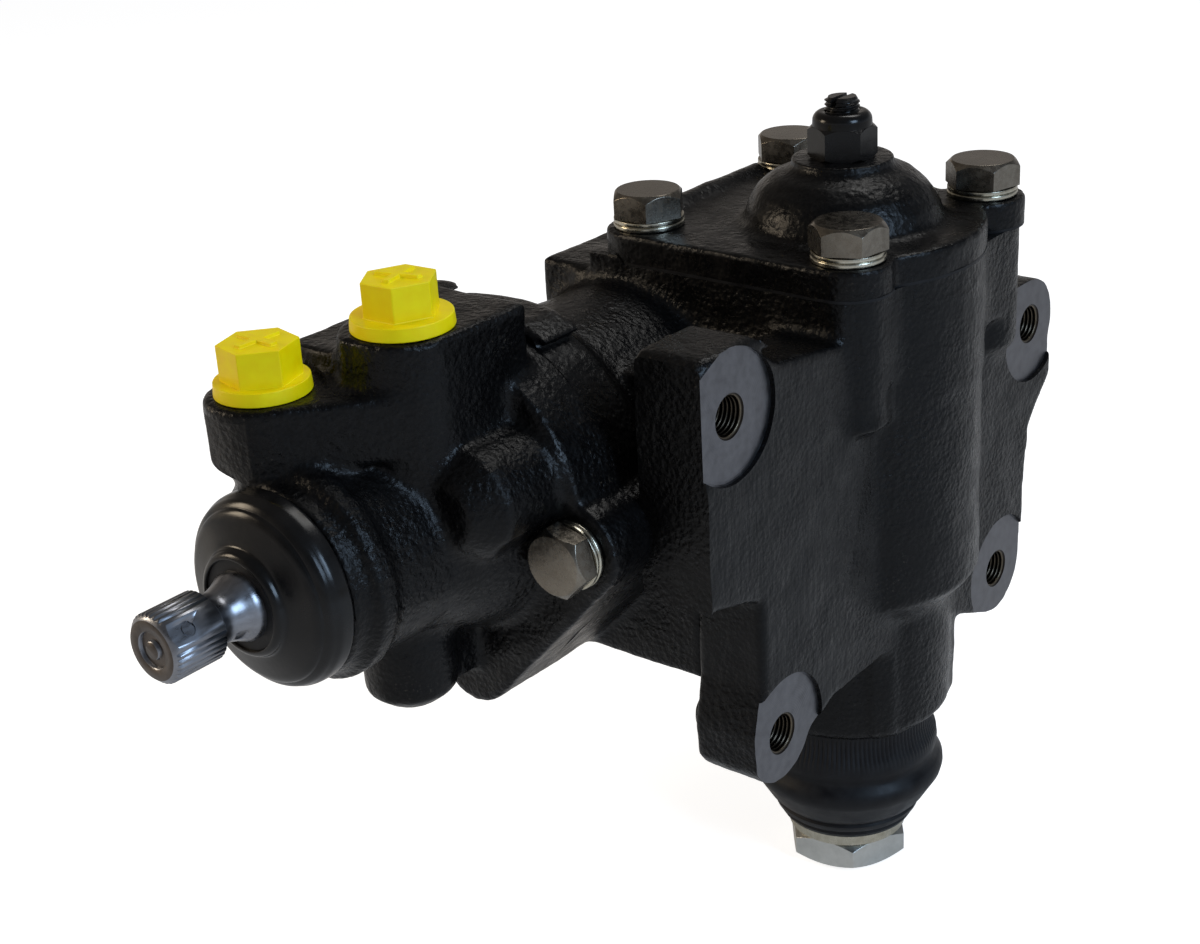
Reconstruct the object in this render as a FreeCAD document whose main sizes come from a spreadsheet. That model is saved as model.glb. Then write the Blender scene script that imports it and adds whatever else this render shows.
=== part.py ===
import FreeCAD, Part
import math
import os
import re

import Sketcher
from FreeCAD import Placement, Rotation, Vector

# Hydraulic recirculating-ball steering gear, in millimetres.
# Z runs up the sector shaft, Y along the worm with the input shaft at -Y, and the frame pads face +X.
# The origin is the centre of the sector shaft's lower end.

SIZES = {
    # main centres
    "shaft_offset": 46.0,
    "worm_height": 159.0,
    "gear_pitch_radius": 24.0,
    "gear_half_width": 16.0,
    "tooth_module": 6.0,
    "pressure_angle": 25.0,
    "tooth_backlash": 0.24,
    # running and thread clearances, all on the radius
    "running_gap": 0.05,
    "thread_gap": 0.05,
    "seal_gap": 0.02,
    "ball_gap": 0.02,
    # sector shaft
    "journal_radius": 16.0,
    "upper_journal_radius": 14.0,
    "taper_small_radius": 13.6,
    "taper_start": 17.5,
    "taper_end": 46.0,
    "shaft_thread_radius": 11.0,
    "shaft_over_seat": 3.5,
    "screw_pocket_radius": 8.5,
    "screw_pocket_depth": 9.0,
    # gear housing
    "piston_bore_radius": 30.0,
    "piston_tube_radius": 38.0,
    "joint_plane": -106.0,
    "tube_rear": 88.0,
    "end_plug_thickness": 10.0,
    "end_plug_depth": 6.0,
    "chamber_radius": 31.5,
    "chamber_floor_gap": 1.5,
    "belly_height": 98.0,
    "foot_drop": 48.6,
    "sector_wall": 8.5,
    "lower_boss_radius": 32.3,
    "lower_boss_bottom": 56.0,
    "shoulder_height": 105.0,
    "seat_over_tube": 5.5,
    "pad_half_width": 18.5,
    "pad_front": -58.0,
    "pad_rise": 46.0,
    # cover
    "gasket_thickness": 0.8,
    "cover_flange": 8.0,
    "cover_pitch_x": 67.2,
    "cover_pitch_y": 72.2,
    "cover_centre_x": -11.2,
    "cover_centre_y": 3.8,
    "cover_corner_radius": 12.3,
    "cover_arc_radius": 40.6,
    "cover_spigot": 13.0,
    "dome_radius": 28.4,
    "dome_height": 15.2,
    "dome_ring_radius": 14.3,
    "dome_ring_height": 2.6,
    # fasteners
    "cover_bolt_radius": 6.0,
    "cover_bolt_flats": 19.0,
    "cover_bolt_head": 7.5,
    "cover_bolt_length": 21.0,
    "valve_bolt_radius": 5.0,
    "valve_bolt_flats": 17.0,
    "valve_bolt_head": 6.4,
    "valve_bolt_length": 32.0,
    "valve_bolt_circle": 44.0,
    "spring_washer_thickness": 3.0,
    "screw_radius": 5.0,
    "screw_stand_out": 4.0,
    "lock_nut_flats": 17.0,
    "lock_nut_height": 13.0,
    "pitman_nut_flats": 34.5,
    "pitman_nut_height": 9.8,
    "pitman_nut_bottom": 1.2,
    "lock_washer_thickness": 3.6,
    "lock_washer_radius": 18.6,
    # mounting plate, its four pads and their holes
    "mount_face": 27.0,
    "plate_skin": 1.4,
    "plate_thickness": 20.5,
    "mount_hole_radius": 5.1,
    "mount_hole_depth": 18.0,
    "mount_pad_radius": 18.0,
    "small_pad_radius": 14.4,
    "front_top_y": -94.2,
    "front_top_z": 188.2,
    "front_low_y": -74.4,
    "front_low_z": 87.2,
    "rear_low_y": 45.7,
    "rear_low_z": 87.7,
    "rear_top_y": 63.1,
    "rear_top_z": 164.5,
    # valve housing
    "valve_tube_radius": 27.0,
    "valve_front": -182.0,
    "valve_ridge_radius": 28.6,
    "flange_thickness": 16.0,
    "flange_radius": 46.0,
    "flange_lobe_radius": 12.4,
    "valve_bore_radius": 17.0,
    "bearing_bore_radius": 24.0,
    "high_port_x": -36.0,
    "high_port_y": -142.0,
    "high_port_rise": 56.5,
    "low_port_x": -59.0,
    "low_port_y": -169.0,
    "low_port_rise": 44.0,
    "port_boss_radius": 15.0,
    "port_block_rear": -113.0,
    "high_thread_radius": 9.0,
    "low_thread_radius": 8.0,
    "port_depth": 15.0,
    "lug_radius": 12.6,
    "lug_bottom": 109.0,
    "bulge_radius": 15.0,
    # port plugs
    "high_plug_flange": 13.2,
    "low_plug_flange": 12.3,
    "plug_flange_height": 3.6,
    "plug_hex_height": 9.2,
    # front cap, input shaft and rotary valve
    "cap_radius": 25.6,
    "cap_rim": 7.6,
    "cap_thread_radius": 20.0,
    "cap_thread_length": 16.0,
    "cap_boss_radius": 13.5,
    "cap_boss_height": 14.0,
    "input_radius": 9.0,
    "input_end": -222.5,
    "spline_length": 15.0,
    "spline_depth": 0.75,
    "neck_radius": 6.6,
    "spool_radius": 10.0,
    "spool_front": -164.0,
    "spool_rear": -130.0,
    "sleeve_ring_spacing": 9.2,
    "bar_radius": 3.0,
    "bar_bore_radius": 3.6,
    "bar_neck_radius": 2.2,
    "pin_radius": 1.5,
    "pin_slack": 0.4,
    "input_pin_setback": 22.0,
    # ball screw
    "ball_radius": 2.75,
    "ball_circle_radius": 10.8,
    "screw_lead": 10.0,
    "groove_gap": 0.06,
    "worm_radius": 10.4,
    "nut_bore_radius": 11.3,
    "guide_radius": 18.4,
    "worm_end": 25.0,
    "circuit_start": -28.0,
    "worm_flange_radius": 17.0,
    "worm_flange_width": 5.0,
    "worm_flange_setback": 11.0,
    "bearing_ball_radius": 2.2,
    "race_width": 3.0,
    # rack piston
    "piston_gap": 0.08,
    "piston_front": -52.0,
    "piston_rear": 50.0,
    "ring_front": -47.0,
    "ring_width": 4.0,
    # boot
    "boot_radius": 28.5,
    "boot_skirt_radius": 30.5,
    "boot_lip_radius": 20.3,
    "boot_bottom": 14.9,
    "boot_wall": 2.2,
}
COUNTS = {
    "spline_teeth": 36,
    "spline_gap_teeth": 5,
    "needles": 26,
    "bearing_balls": 16,
    "circuit_turns": 2,
    "balls_per_turn": 12,
}

# Heights that follow from the sizes above.
DERIVED = {
    "housing_top": "worm_height + piston_tube_radius + seat_over_tube",
    "shaft_top": "housing_top + shaft_over_seat",
    "pad_height": "worm_height + pad_rise",
    "high_port_top": "worm_height + high_port_rise",
    "low_port_top": "worm_height + low_port_rise",
}

doc = FreeCAD.newDocument("steering_gear")
sheet = doc.addObject("Spreadsheet::Sheet", "Sizes")
for row, (alias, number) in enumerate(list(SIZES.items()) + list(COUNTS.items()), start=1):
    sheet.set("A%d" % row, alias)
    sheet.set("B%d" % row, str(number))
    sheet.setAlias("B%d" % row, alias)
doc.recompute()

WORD = re.compile(r"[a-z][a-z_0-9]*")
nodes = []


def formula(text):
    """The text with derived heights written out and each size's name pointed at its cell."""
    def named(hit):
        word = hit.group()
        if word in DERIVED:
            return "(%s)" % formula(DERIVED[word])
        return "Sizes." + word if hasattr(sheet, word) else word
    return WORD.sub(named, text)


def value(text):
    """The number that a formula gives."""
    number = sheet.evalExpression(formula(text))
    return float(getattr(number, "Value", number))


def bind(item, field, text):
    item.setExpression(field, formula(text))


TURN = {
    "x": Rotation(Vector(0, 1, 0), 90),
    "y": Rotation(Vector(1, 0, 0), -90),
    "z": Rotation(),
}
WORM_X = "-shaft_offset"
WORM_Z = "worm_height"


def put(item, x, y, z, along="z", spin=0.0):
    """Place an item's own Z axis along a row axis, starting at a point given by formulas."""
    item.Placement = Placement(Vector(), TURN[along] * Rotation(Vector(0, 0, 1), spin))
    bind(item, "Placement.Base.x", x)
    bind(item, "Placement.Base.y", y)
    bind(item, "Placement.Base.z", z)
    return item


def rod(name, radius, x, y, z, length, along="z"):
    item = doc.addObject("Part::Cylinder", name)
    bind(item, "Radius", radius)
    bind(item, "Height", length)
    return put(item, x, y, z, along)


def taper(name, radius_start, radius_end, x, y, z, length, along="z"):
    item = doc.addObject("Part::Cone", name)
    bind(item, "Radius1", radius_start)
    bind(item, "Radius2", radius_end)
    bind(item, "Height", length)
    return put(item, x, y, z, along)


def block(name, x, y, z, size_x, size_y, size_z):
    item = doc.addObject("Part::Box", name)
    bind(item, "Length", size_x)
    bind(item, "Width", size_y)
    bind(item, "Height", size_z)
    return put(item, x, y, z)


def hexagon(name, flats, x, y, z, length, along="z", spin=0.0):
    item = doc.addObject("Part::Prism", name)
    item.Polygon = 6
    bind(item, "Circumradius", "(%s) / sqrt(3)" % flats)
    bind(item, "Height", length)
    return put(item, x, y, z, along, spin)


def join(name, parts):
    item = doc.addObject("Part::MultiFuse", name)
    item.Shapes = parts
    item.Refine = True
    return item


def carve(name, base, tools):
    item = doc.addObject("Part::Cut", name)
    item.Base = base
    item.Tool = tools[0] if len(tools) == 1 else join(name + "_tools", tools)
    return item


def overlap(name, first, second):
    item = doc.addObject("Part::Common", name)
    item.Base = first
    item.Tool = second
    return item


def bundle(name, parts):
    item = doc.addObject("Part::Compound", name)
    item.Links = parts
    return item


def finish_node(item, label):
    item.Label = label
    nodes.append(item)
    return item


def outline(body, name, points, plane="XZ_Plane"):
    """A closed sketch of straight edges whose corners follow pairs of formulas."""
    sketch = body.newObject("Sketcher::SketchObject", name)
    support = next(o for o in body.Origin.OriginFeatures if o.Role == plane)
    sketch.AttachmentSupport = (support, [""])
    sketch.MapMode = "FlatFace"
    corners = [Vector(value(u), value(v), 0) for u, v in points]
    for i, corner in enumerate(corners):
        sketch.addGeometry(Part.LineSegment(corner, corners[(i + 1) % len(corners)]), False)
    for i in range(len(corners)):
        sketch.addConstraint(Sketcher.Constraint("Coincident", i, 2, (i + 1) % len(corners), 1))
    for i, (u, v) in enumerate(points):
        for direction, text, own_axis in (("DistanceX", u, -2), ("DistanceY", v, -1)):
            if text == "0":
                sketch.addConstraint(Sketcher.Constraint("PointOnObject", i, 1, own_axis))
                continue
            index = sketch.addConstraint(
                Sketcher.Constraint(direction, -1, 1, i, 1, value(text)))
            bind(sketch, "Constraints[%d]" % index, text)
    return sketch


def turned(name, points, x="0", y="0", z="0", along="z"):
    """A turned piece: pairs of radius and distance along its axis, revolved."""
    body = doc.addObject("PartDesign::Body", name)
    sketch = outline(body, name + "_profile", points)
    spin = body.newObject("PartDesign::Revolution", name + "_revolved")
    spin.Profile = sketch
    spin.ReferenceAxis = (sketch, ["V_Axis"])
    spin.Angle = 360
    body.Tip = spin
    sketch.Visibility = False
    return put(body, x, y, z, along)


def padded(name, points, thickness, x="0", y="0", z="0", along="z", spin=0.0):
    """A plate: a flat outline drawn square to its axis and given a thickness."""
    body = doc.addObject("PartDesign::Body", name)
    sketch = outline(body, name + "_profile", points, "XY_Plane")
    pad = body.newObject("PartDesign::Pad", name + "_pad")
    pad.Profile = sketch
    bind(pad, "Length", thickness)
    body.Tip = pad
    sketch.Visibility = False
    return put(body, x, y, z, along, spin)


def on_worm(name, points):
    return turned(name, points, WORM_X, "0", WORM_Z, "y")


def worm_rod(name, radius, start, length):
    return rod(name, radius, WORM_X, start, WORM_Z, length, "y")


# Corners of the cover's bolt rectangle, and the valve housing's bolt positions.
COVER_CORNERS = [
    ("cover_centre_x %s cover_pitch_x / 2" % sx, "cover_centre_y %s cover_pitch_y / 2" % sy)
    for sx, sy in (("+", "-"), ("-", "-"), ("-", "+"), ("+", "+"))
]
VALVE_ANGLES = (-6, -125, -175, 140)


def ring_point(radius, degrees):
    """A point round the worm's axis, as formulas for X and Z."""
    x = "-shaft_offset + (%s) * cos(%g)" % (radius, degrees)
    z = "worm_height + (%s) * sin(%g)" % (radius, degrees)
    return x, z


VALVE_BOLTS = [ring_point("valve_bolt_circle", a) for a in VALVE_ANGLES]
FOOT = ("-shaft_offset + 3", "worm_height - foot_drop")
COVER_SEAT = "housing_top + gasket_thickness"
COVER_TOP = "housing_top + gasket_thickness + cover_flange"
DOME_TOP = COVER_TOP + " + dome_height + dome_ring_height"
FLANGE_FRONT = "joint_plane - flange_thickness"
WORM_FLANGE = "joint_plane - worm_flange_setback"
# Front shoulder of the worm bearing's bore, where the front race seats.
RACE_SEAT = WORM_FLANGE + " - worm_flange_width / 2 - 2 * bearing_ball_radius - 2 * ball_gap - race_width"

# The four pads on the mounting face: their centres in Y and Z, the radius of the cast boss and the
# depth of the tapped hole.
PADS = [
    ("front_top", "front_top_y", "front_top_z", "mount_pad_radius", "mount_hole_depth"),
    ("front_low", "front_low_y", "front_low_z", "small_pad_radius", "mount_hole_depth - 1"),
    ("rear_low", "rear_low_y", "rear_low_z", "small_pad_radius", "mount_hole_depth - 2"),
    ("rear_top", "rear_top_y", "rear_top_z", "small_pad_radius", "mount_hole_depth - 3"),
]


def pad_arc(label, start, end, steps):
    """Points round a pad's edge between two angles, as formulas for Y and Z."""
    y, z, radius = next(pad[1:4] for pad in PADS if pad[0] == label)
    angles = [start + (end - start) * i / steps for i in range(steps + 1)]
    return [("%s + (%s) * cos(%g)" % (y, radius, a), "%s + (%s) * sin(%g)" % (z, radius, a))
            for a in angles]


def foot_wall(name, start, length):
    """Straight wall along the flange, tangent to its right-hand bolt lobe and its foot."""
    x, z = VALVE_BOLTS[0]
    corners = [
        ("%s + flange_lobe_radius * 0.71" % x, "-(%s) + flange_lobe_radius * 0.71" % z),
        (x, "-(%s)" % z),
        (WORM_X, "-worm_height"),
        (FOOT[0], "-(%s)" % FOOT[1]),
        ("%s + flange_lobe_radius * 0.71" % FOOT[0], "-(%s) + flange_lobe_radius * 0.71" % FOOT[1]),
    ]
    return padded(name, corners, length, "0", start, "0", "y")


def gear_housing():
    """Casting with the piston tube, the sector chamber, the output boss and the frame plate."""
    mass = []
    mass.append(worm_rod("tube", "piston_tube_radius", "joint_plane", "tube_rear - joint_plane"))
    mass.append(worm_rod("tube_collar", "flange_radius", "joint_plane", "14"))
    mass.append(taper("tube_neck", "flange_radius", "piston_tube_radius", WORM_X,
                      "joint_plane + 14", WORM_Z, "9", "y"))
    for i, (x, z) in enumerate(VALVE_BOLTS):
        mass.append(rod("joint_lobe%d" % i, "flange_lobe_radius", x, "joint_plane", z, "24", "y"))
        mass.append(taper("joint_lobe_tail%d" % i, "flange_lobe_radius", "flange_lobe_radius - 6", x,
                          "joint_plane + 24", z, "14", "y"))
    mass.append(block("label_pad", "-shaft_offset - pad_half_width", "pad_front", "worm_height",
                      "pad_half_width", "13", "pad_height - worm_height"))
    mass.append(block("label_pad_side", "-shaft_offset - pad_half_width", "pad_front", "worm_height",
                      "pad_half_width - 12.6", "34", "pad_height - worm_height"))
    wall = "chamber_radius + sector_wall"
    mass.append(rod("sector_tower", wall, "0", "0", "shoulder_height", "housing_top - shoulder_height"))
    mass.append(rod("sector_crown", "cover_arc_radius", "0", "0", "housing_top - 34", "34"))
    mass.append(taper("sector_haunch", wall, "cover_arc_radius", "0", "0", "housing_top - 38", "4"))
    mass.append(taper("shoulder", "lower_boss_radius", wall, "0", "0", "shoulder_height - 9", "9"))
    mass.append(rod("output_boss", "lower_boss_radius", "0", "0", "lower_boss_bottom + 3",
                    "shoulder_height - lower_boss_bottom - 3"))
    mass.append(taper("output_boss_edge", "lower_boss_radius - 3", "lower_boss_radius", "0", "0",
                      "lower_boss_bottom", "3"))
    drops = (36, 20, 26, 36)
    for i, ((x, y), drop) in enumerate(zip(COVER_CORNERS, drops)):
        column_x = x + (" - 1.4" if "+" in x else "")
        mass.append(rod("corner%d" % i, "cover_corner_radius", column_x, y,
                        "housing_top - %g" % drop, "%g" % drop))
        mass.append(taper("corner_foot%d" % i, "cover_corner_radius - 6", "cover_corner_radius",
                          column_x, y, "housing_top - %g" % (drop + 7), "7"))
    mass.append(block("crown_x", "cover_centre_x - cover_pitch_x / 2 - cover_corner_radius",
                      "cover_centre_y - cover_pitch_y / 2", "housing_top - 26",
                      "cover_pitch_x + 2 * cover_corner_radius - 1.4", "cover_pitch_y", "26"))
    mass.append(block("crown_y", "cover_centre_x - cover_pitch_x / 2",
                      "cover_centre_y - cover_pitch_y / 2 - cover_corner_radius",
                      "housing_top - 26", "cover_pitch_x - 1.4",
                      "cover_pitch_y + 2 * cover_corner_radius", "26"))
    # Frame plate: its outline in Y and Z, clockwise from the wide part's lower corner.
    plate_points = [("front_top_y - 10.8", "front_top_z - 50")]
    plate_points += pad_arc("front_top", 126, 60, 5)
    plate_points += [
        ("front_top_y + 20", "front_top_z + 8"),
        ("-46", "front_top_z + 4"),
        ("-30", "front_top_z - 2"),
        ("rear_top_y - 30", "rear_top_z + 14"),
    ]
    plate_points += pad_arc("rear_top", 90, -30, 6)
    plate_points += [
        ("rear_top_y + 12.6", "rear_top_z - 20"),
        ("rear_low_y + 17", "rear_top_z - 34"),
        ("rear_low_y + 15", "rear_low_z + 18"),
    ]
    plate_points += pad_arc("rear_low", 0, -110, 5)
    plate_points += [
        ("rear_low_y - 28", "rear_low_z - 4"),
        ("-18", "rear_low_z + 0.6"),
        ("-50", "rear_low_z - 0.4"),
    ]
    plate_points += pad_arc("front_low", -20, -150, 6)
    plate_points += [
        ("front_low_y - 13.2", "front_low_z + 4"),
        ("front_low_y - 10", "front_low_z + 18"),
        ("front_low_y - 10", "front_top_z - 56"),
    ]
    plate = padded("plate", plate_points, "plate_thickness + plate_skin")
    upright = Rotation(Vector(0, 1, 0), Vector(0, 0, 1), Vector(1, 0, 0), "XYZ")
    plate.Placement = Placement(Vector(), upright)
    bind(plate, "Placement.Base.x", "mount_face - plate_thickness")
    mass.append(plate)
    mass.append(rod("joint_foot", "flange_lobe_radius", FOOT[0], "joint_plane", FOOT[1], "30", "y"))
    mass.append(foot_wall("joint_foot_wall", "joint_plane", "30"))
    # Belly between the foot, the plate's leg and the output boss.
    mass.append(block("belly", FOOT[0], "joint_plane + 28", "belly_height",
                      "shaft_offset", "60", "42"))
    # Webs that carry the plate from the tube and the tower.
    mass.append(block("upper_web", WORM_X, "front_top_y + 14", "worm_height + 4",
                      "mount_face - plate_thickness + shaft_offset + 1", "48", "24"))
    mass.append(block("front_web", WORM_X, "front_top_y + 8", "worm_height - 22",
                      "mount_face - plate_thickness + shaft_offset + 1", "50", "40"))
    mass.append(block("leg_web", "-12", "front_low_y + 6", "front_low_z + 12",
                      "mount_face - plate_thickness + 13", "60", "44"))
    mass.append(block("rear_web", "-20", "0", "rear_low_z + 10",
                      "mount_face - plate_thickness + 21", "rear_top_y - 8",
                      "rear_top_z - rear_low_z - 2"))
    solid = join("housing_mass", mass)

    tools = []
    tools.append(worm_rod("piston_bore", "piston_bore_radius", "joint_plane - 1",
                          "tube_rear - joint_plane + 2"))
    tools.append(worm_rod("plug_counterbore", "piston_bore_radius + 2",
                          "tube_rear - end_plug_depth - end_plug_thickness", "40"))
    floor = "worm_height - gear_half_width - chamber_floor_gap"
    tools.append(rod("chamber", "chamber_radius", "0", "0", floor, "80"))
    tools.append(rod("shaft_bore", "journal_radius + 0.6", "0", "0", "0", "200"))
    tools.append(rod("bearing_pocket", "journal_radius + 4", "0", "0", "lower_boss_bottom",
                     "worm_height - gear_half_width - lower_boss_bottom - 14"))
    tools.append(rod("seal_pocket", "journal_radius + 7", "0", "0", "0", "lower_boss_bottom + 12"))
    tools.append(rod("ring_groove", "journal_radius + 8", "0", "0", "lower_boss_bottom + 2.4", "1.8"))
    for i, (x, y) in enumerate(COVER_CORNERS):
        tools.append(rod("cover_tap%d" % i, "cover_bolt_radius + thread_gap", x, y,
                         "housing_top - cover_bolt_length + 10.8", "60"))
    for i, (x, z) in enumerate(VALVE_BOLTS):
        tools.append(rod("valve_tap%d" % i, "valve_bolt_radius + thread_gap", x, "joint_plane - 1",
                         z, "valve_bolt_length - flange_thickness + 4", "y"))
    for label, y, z, radius, depth in PADS:
        tools.append(rod("tap_" + label, "mount_hole_radius", "mount_face - (%s)" % depth, y, z,
                         depth + " + 10", "x"))
        tools.append(rod("face_" + label, "mount_pad_radius", "mount_face", y, z, "10", "x"))
    return finish_node(carve("gear_housing", solid, tools), "gear_housing")


def flat_plate_with_corners(name, bottom, thickness):
    """The cover's outline: four round corners, straight front, and an arc round the shaft."""
    pieces = [rod(name + "_arc", "cover_arc_radius", "0", "0", bottom, thickness)]
    for i, (x, y) in enumerate(COVER_CORNERS):
        pieces.append(rod("%s_corner%d" % (name, i), "cover_corner_radius", x, y, bottom, thickness))
    pieces.append(block(name + "_x", "cover_centre_x - cover_pitch_x / 2 - cover_corner_radius",
                        "cover_centre_y - cover_pitch_y / 2", bottom,
                        "cover_pitch_x / 2 + cover_corner_radius", "cover_pitch_y", thickness))
    pieces.append(block(name + "_y", "cover_centre_x - cover_pitch_x / 2",
                        "cover_centre_y - cover_pitch_y / 2 - cover_corner_radius", bottom,
                        "cover_pitch_x", "cover_pitch_y / 2", thickness))
    pieces.append(block(name + "_core", "cover_centre_x - cover_pitch_x / 2",
                        "cover_centre_y - cover_pitch_y / 2", bottom,
                        "cover_pitch_x * 0.75", "cover_pitch_y", thickness))
    return pieces


def sector_cover():
    """Bolted cover with its spigot, domed bearing housing and the screw's threaded ring."""
    pieces = flat_plate_with_corners("cover", COVER_SEAT, "cover_flange")
    dome = turned("cover_dome", [
        ("0", COVER_TOP + " - 1"),
        ("dome_radius", COVER_TOP + " - 1"),
        ("dome_radius", COVER_TOP + " + 1"),
        ("dome_radius - 1.2", COVER_TOP + " + dome_height * 0.34"),
        ("dome_radius - 4.2", COVER_TOP + " + dome_height * 0.64"),
        ("dome_radius - 8.6", COVER_TOP + " + dome_height * 0.87"),
        ("dome_ring_radius", COVER_TOP + " + dome_height"),
        ("dome_ring_radius", DOME_TOP),
        ("0", DOME_TOP),
    ])
    pieces.append(dome)
    for i, (x, y) in enumerate(COVER_CORNERS):
        pieces.append(taper("bolt_land%d" % i, "cover_corner_radius - 0.2", "cover_corner_radius - 1.2",
                            x, y, COVER_TOP + " - 0.4", "0.4"))
    pieces.append(rod("spigot", "chamber_radius - running_gap", "0", "0",
                      "housing_top - cover_spigot", "cover_spigot + 2"))
    solid = join("cover_mass", pieces)
    tools = [
        rod("cover_recess", "upper_journal_radius + 8", "0", "0", "housing_top - cover_spigot - 1",
            "5"),
        rod("upper_pocket", "upper_journal_radius + 4", "0", "0", "housing_top - cover_spigot - 1",
            "shaft_top - housing_top + cover_spigot + 4"),
        rod("screw_hole", "screw_radius + thread_gap", "0", "0", "housing_top", "60"),
    ]
    for i, (x, y) in enumerate(COVER_CORNERS):
        tools.append(rod("cover_hole%d" % i, "cover_bolt_radius + 0.5", x, y, "housing_top - 5", "30"))
    return finish_node(carve("sector_cover", solid, tools), "sector_cover")


def cover_gasket():
    pieces = join("gasket_mass", flat_plate_with_corners("gasket", "housing_top", "gasket_thickness"))
    tools = [rod("gasket_bore", "chamber_radius", "0", "0", "housing_top - 1", "5")]
    for i, (x, y) in enumerate(COVER_CORNERS):
        tools.append(rod("gasket_hole%d" % i, "cover_bolt_radius + 0.5", x, y, "housing_top - 1", "5"))
    return finish_node(carve("cover_gasket", pieces, tools), "cover_gasket")


def hex_bolt(name, x, y, z, along, radius, flats, head, length, spin):
    """Bolt whose head starts at a point and whose shank runs back along its axis."""
    crown = hexagon(name + "_hex", flats, x, y, z, head, along, spin)
    shift = {"y": (x, "%s - (%s)" % (y, head), z), "z": (x, y, z)}[along]
    wide = "(%s) * 0.475 + (%s)" % (flats, head)
    slim = "(%s) * 0.475" % flats
    if along == "z":
        bevel = taper(name + "_bevel", wide, slim, x, y, z, head)
        shank = rod(name + "_shank", radius, x, y, "%s - (%s)" % (z, length), length)
    else:
        crown.Placement = Placement(Vector(), TURN["y"] * Rotation(Vector(0, 0, 1), spin))
        bind(crown, "Placement.Base.x", x)
        bind(crown, "Placement.Base.y", shift[1])
        bind(crown, "Placement.Base.z", z)
        bevel = taper(name + "_bevel", slim, wide, x, shift[1], z, head, "y")
        shank = rod(name + "_shank", radius, x, y, z, length, "y")
    return join(name, [overlap(name + "_head", crown, bevel), shank])


def cover_fasteners():
    bolts, washers = [], []
    seat = COVER_TOP
    for i, ((x, y), spin) in enumerate(zip(COVER_CORNERS, (22, 4, 10, 16))):
        bolts.append(hex_bolt("cover_bolt%d" % i, x, y, seat + " + spring_washer_thickness", "z",
                              "cover_bolt_radius", "cover_bolt_flats", "cover_bolt_head",
                              "cover_bolt_length", spin))
        washers.append(turned("cover_washer%d" % i, [
            ("cover_bolt_radius + 0.2", "0"),
            ("cover_bolt_radius + 4.3", "0"),
            ("cover_bolt_radius + 4.3", "spring_washer_thickness"),
            ("cover_bolt_radius + 0.2", "spring_washer_thickness"),
        ], x, y, seat))
    finish_node(bundle("cover_bolts", bolts), "cover_bolts")
    finish_node(bundle("cover_washers", washers), "cover_spring_washers")


def valve_fasteners():
    bolts, washers = [], []
    for i, ((x, z), spin) in enumerate(zip(VALVE_BOLTS, (14, 0, 20, 8))):
        bolts.append(hex_bolt("valve_bolt%d" % i, x, FLANGE_FRONT + " - spring_washer_thickness", z,
                              "y", "valve_bolt_radius", "valve_bolt_flats", "valve_bolt_head",
                              "valve_bolt_length", spin))
        washers.append(turned("valve_washer%d" % i, [
            ("valve_bolt_radius + 0.2", "0"),
            ("valve_bolt_radius + 4", "0"),
            ("valve_bolt_radius + 4", "spring_washer_thickness"),
            ("valve_bolt_radius + 0.2", "spring_washer_thickness"),
        ], x, FLANGE_FRONT + " - spring_washer_thickness", z, "y"))
    finish_node(bundle("valve_bolts", bolts), "valve_housing_bolts")
    finish_node(bundle("valve_washers", washers), "valve_housing_washers")


def adjusting_screw():
    """Slotted screw with a round head held in the sector shaft's pocket, and its lock nut."""
    head_top = "shaft_top - 1.5"
    body = turned("screw_body", [
        ("0", head_top + " - 5"),
        ("screw_pocket_radius - 0.6", head_top + " - 5"),
        ("screw_pocket_radius - 0.6", head_top),
        ("screw_radius", head_top),
        ("screw_radius", DOME_TOP + " + lock_nut_height + screw_stand_out - 1"),
        ("screw_radius - 1", DOME_TOP + " + lock_nut_height + screw_stand_out"),
        ("0", DOME_TOP + " + lock_nut_height + screw_stand_out"),
    ])
    slot = block("screw_slot", "-0.9", "-screw_radius - 1",
                 DOME_TOP + " + lock_nut_height + screw_stand_out - 2.5",
                 "1.8", "2 * screw_radius + 2", "5")
    finish_node(carve("adjusting_screw", body, [slot]), "adjusting_screw")
    crown = hexagon("lock_hex", "lock_nut_flats", "0", "0", DOME_TOP, "lock_nut_height", "z", 33)
    dome = turned("lock_dome", [
        ("0", DOME_TOP + " - 1"),
        ("lock_nut_flats", DOME_TOP + " - 1"),
        ("lock_nut_flats", DOME_TOP + " + lock_nut_height - 6"),
        ("lock_nut_flats * 0.52", DOME_TOP + " + lock_nut_height - 2.6"),
        ("lock_nut_flats * 0.46", DOME_TOP + " + lock_nut_height - 1"),
        ("lock_nut_flats * 0.38", DOME_TOP + " + lock_nut_height"),
        ("0", DOME_TOP + " + lock_nut_height"),
    ])
    bore = rod("lock_bore", "screw_radius + thread_gap", "0", "0", DOME_TOP + " - 2", "40")
    finish_node(carve("lock_nut", overlap("lock_form", crown, dome), [bore]), "lock_nut")


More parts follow.
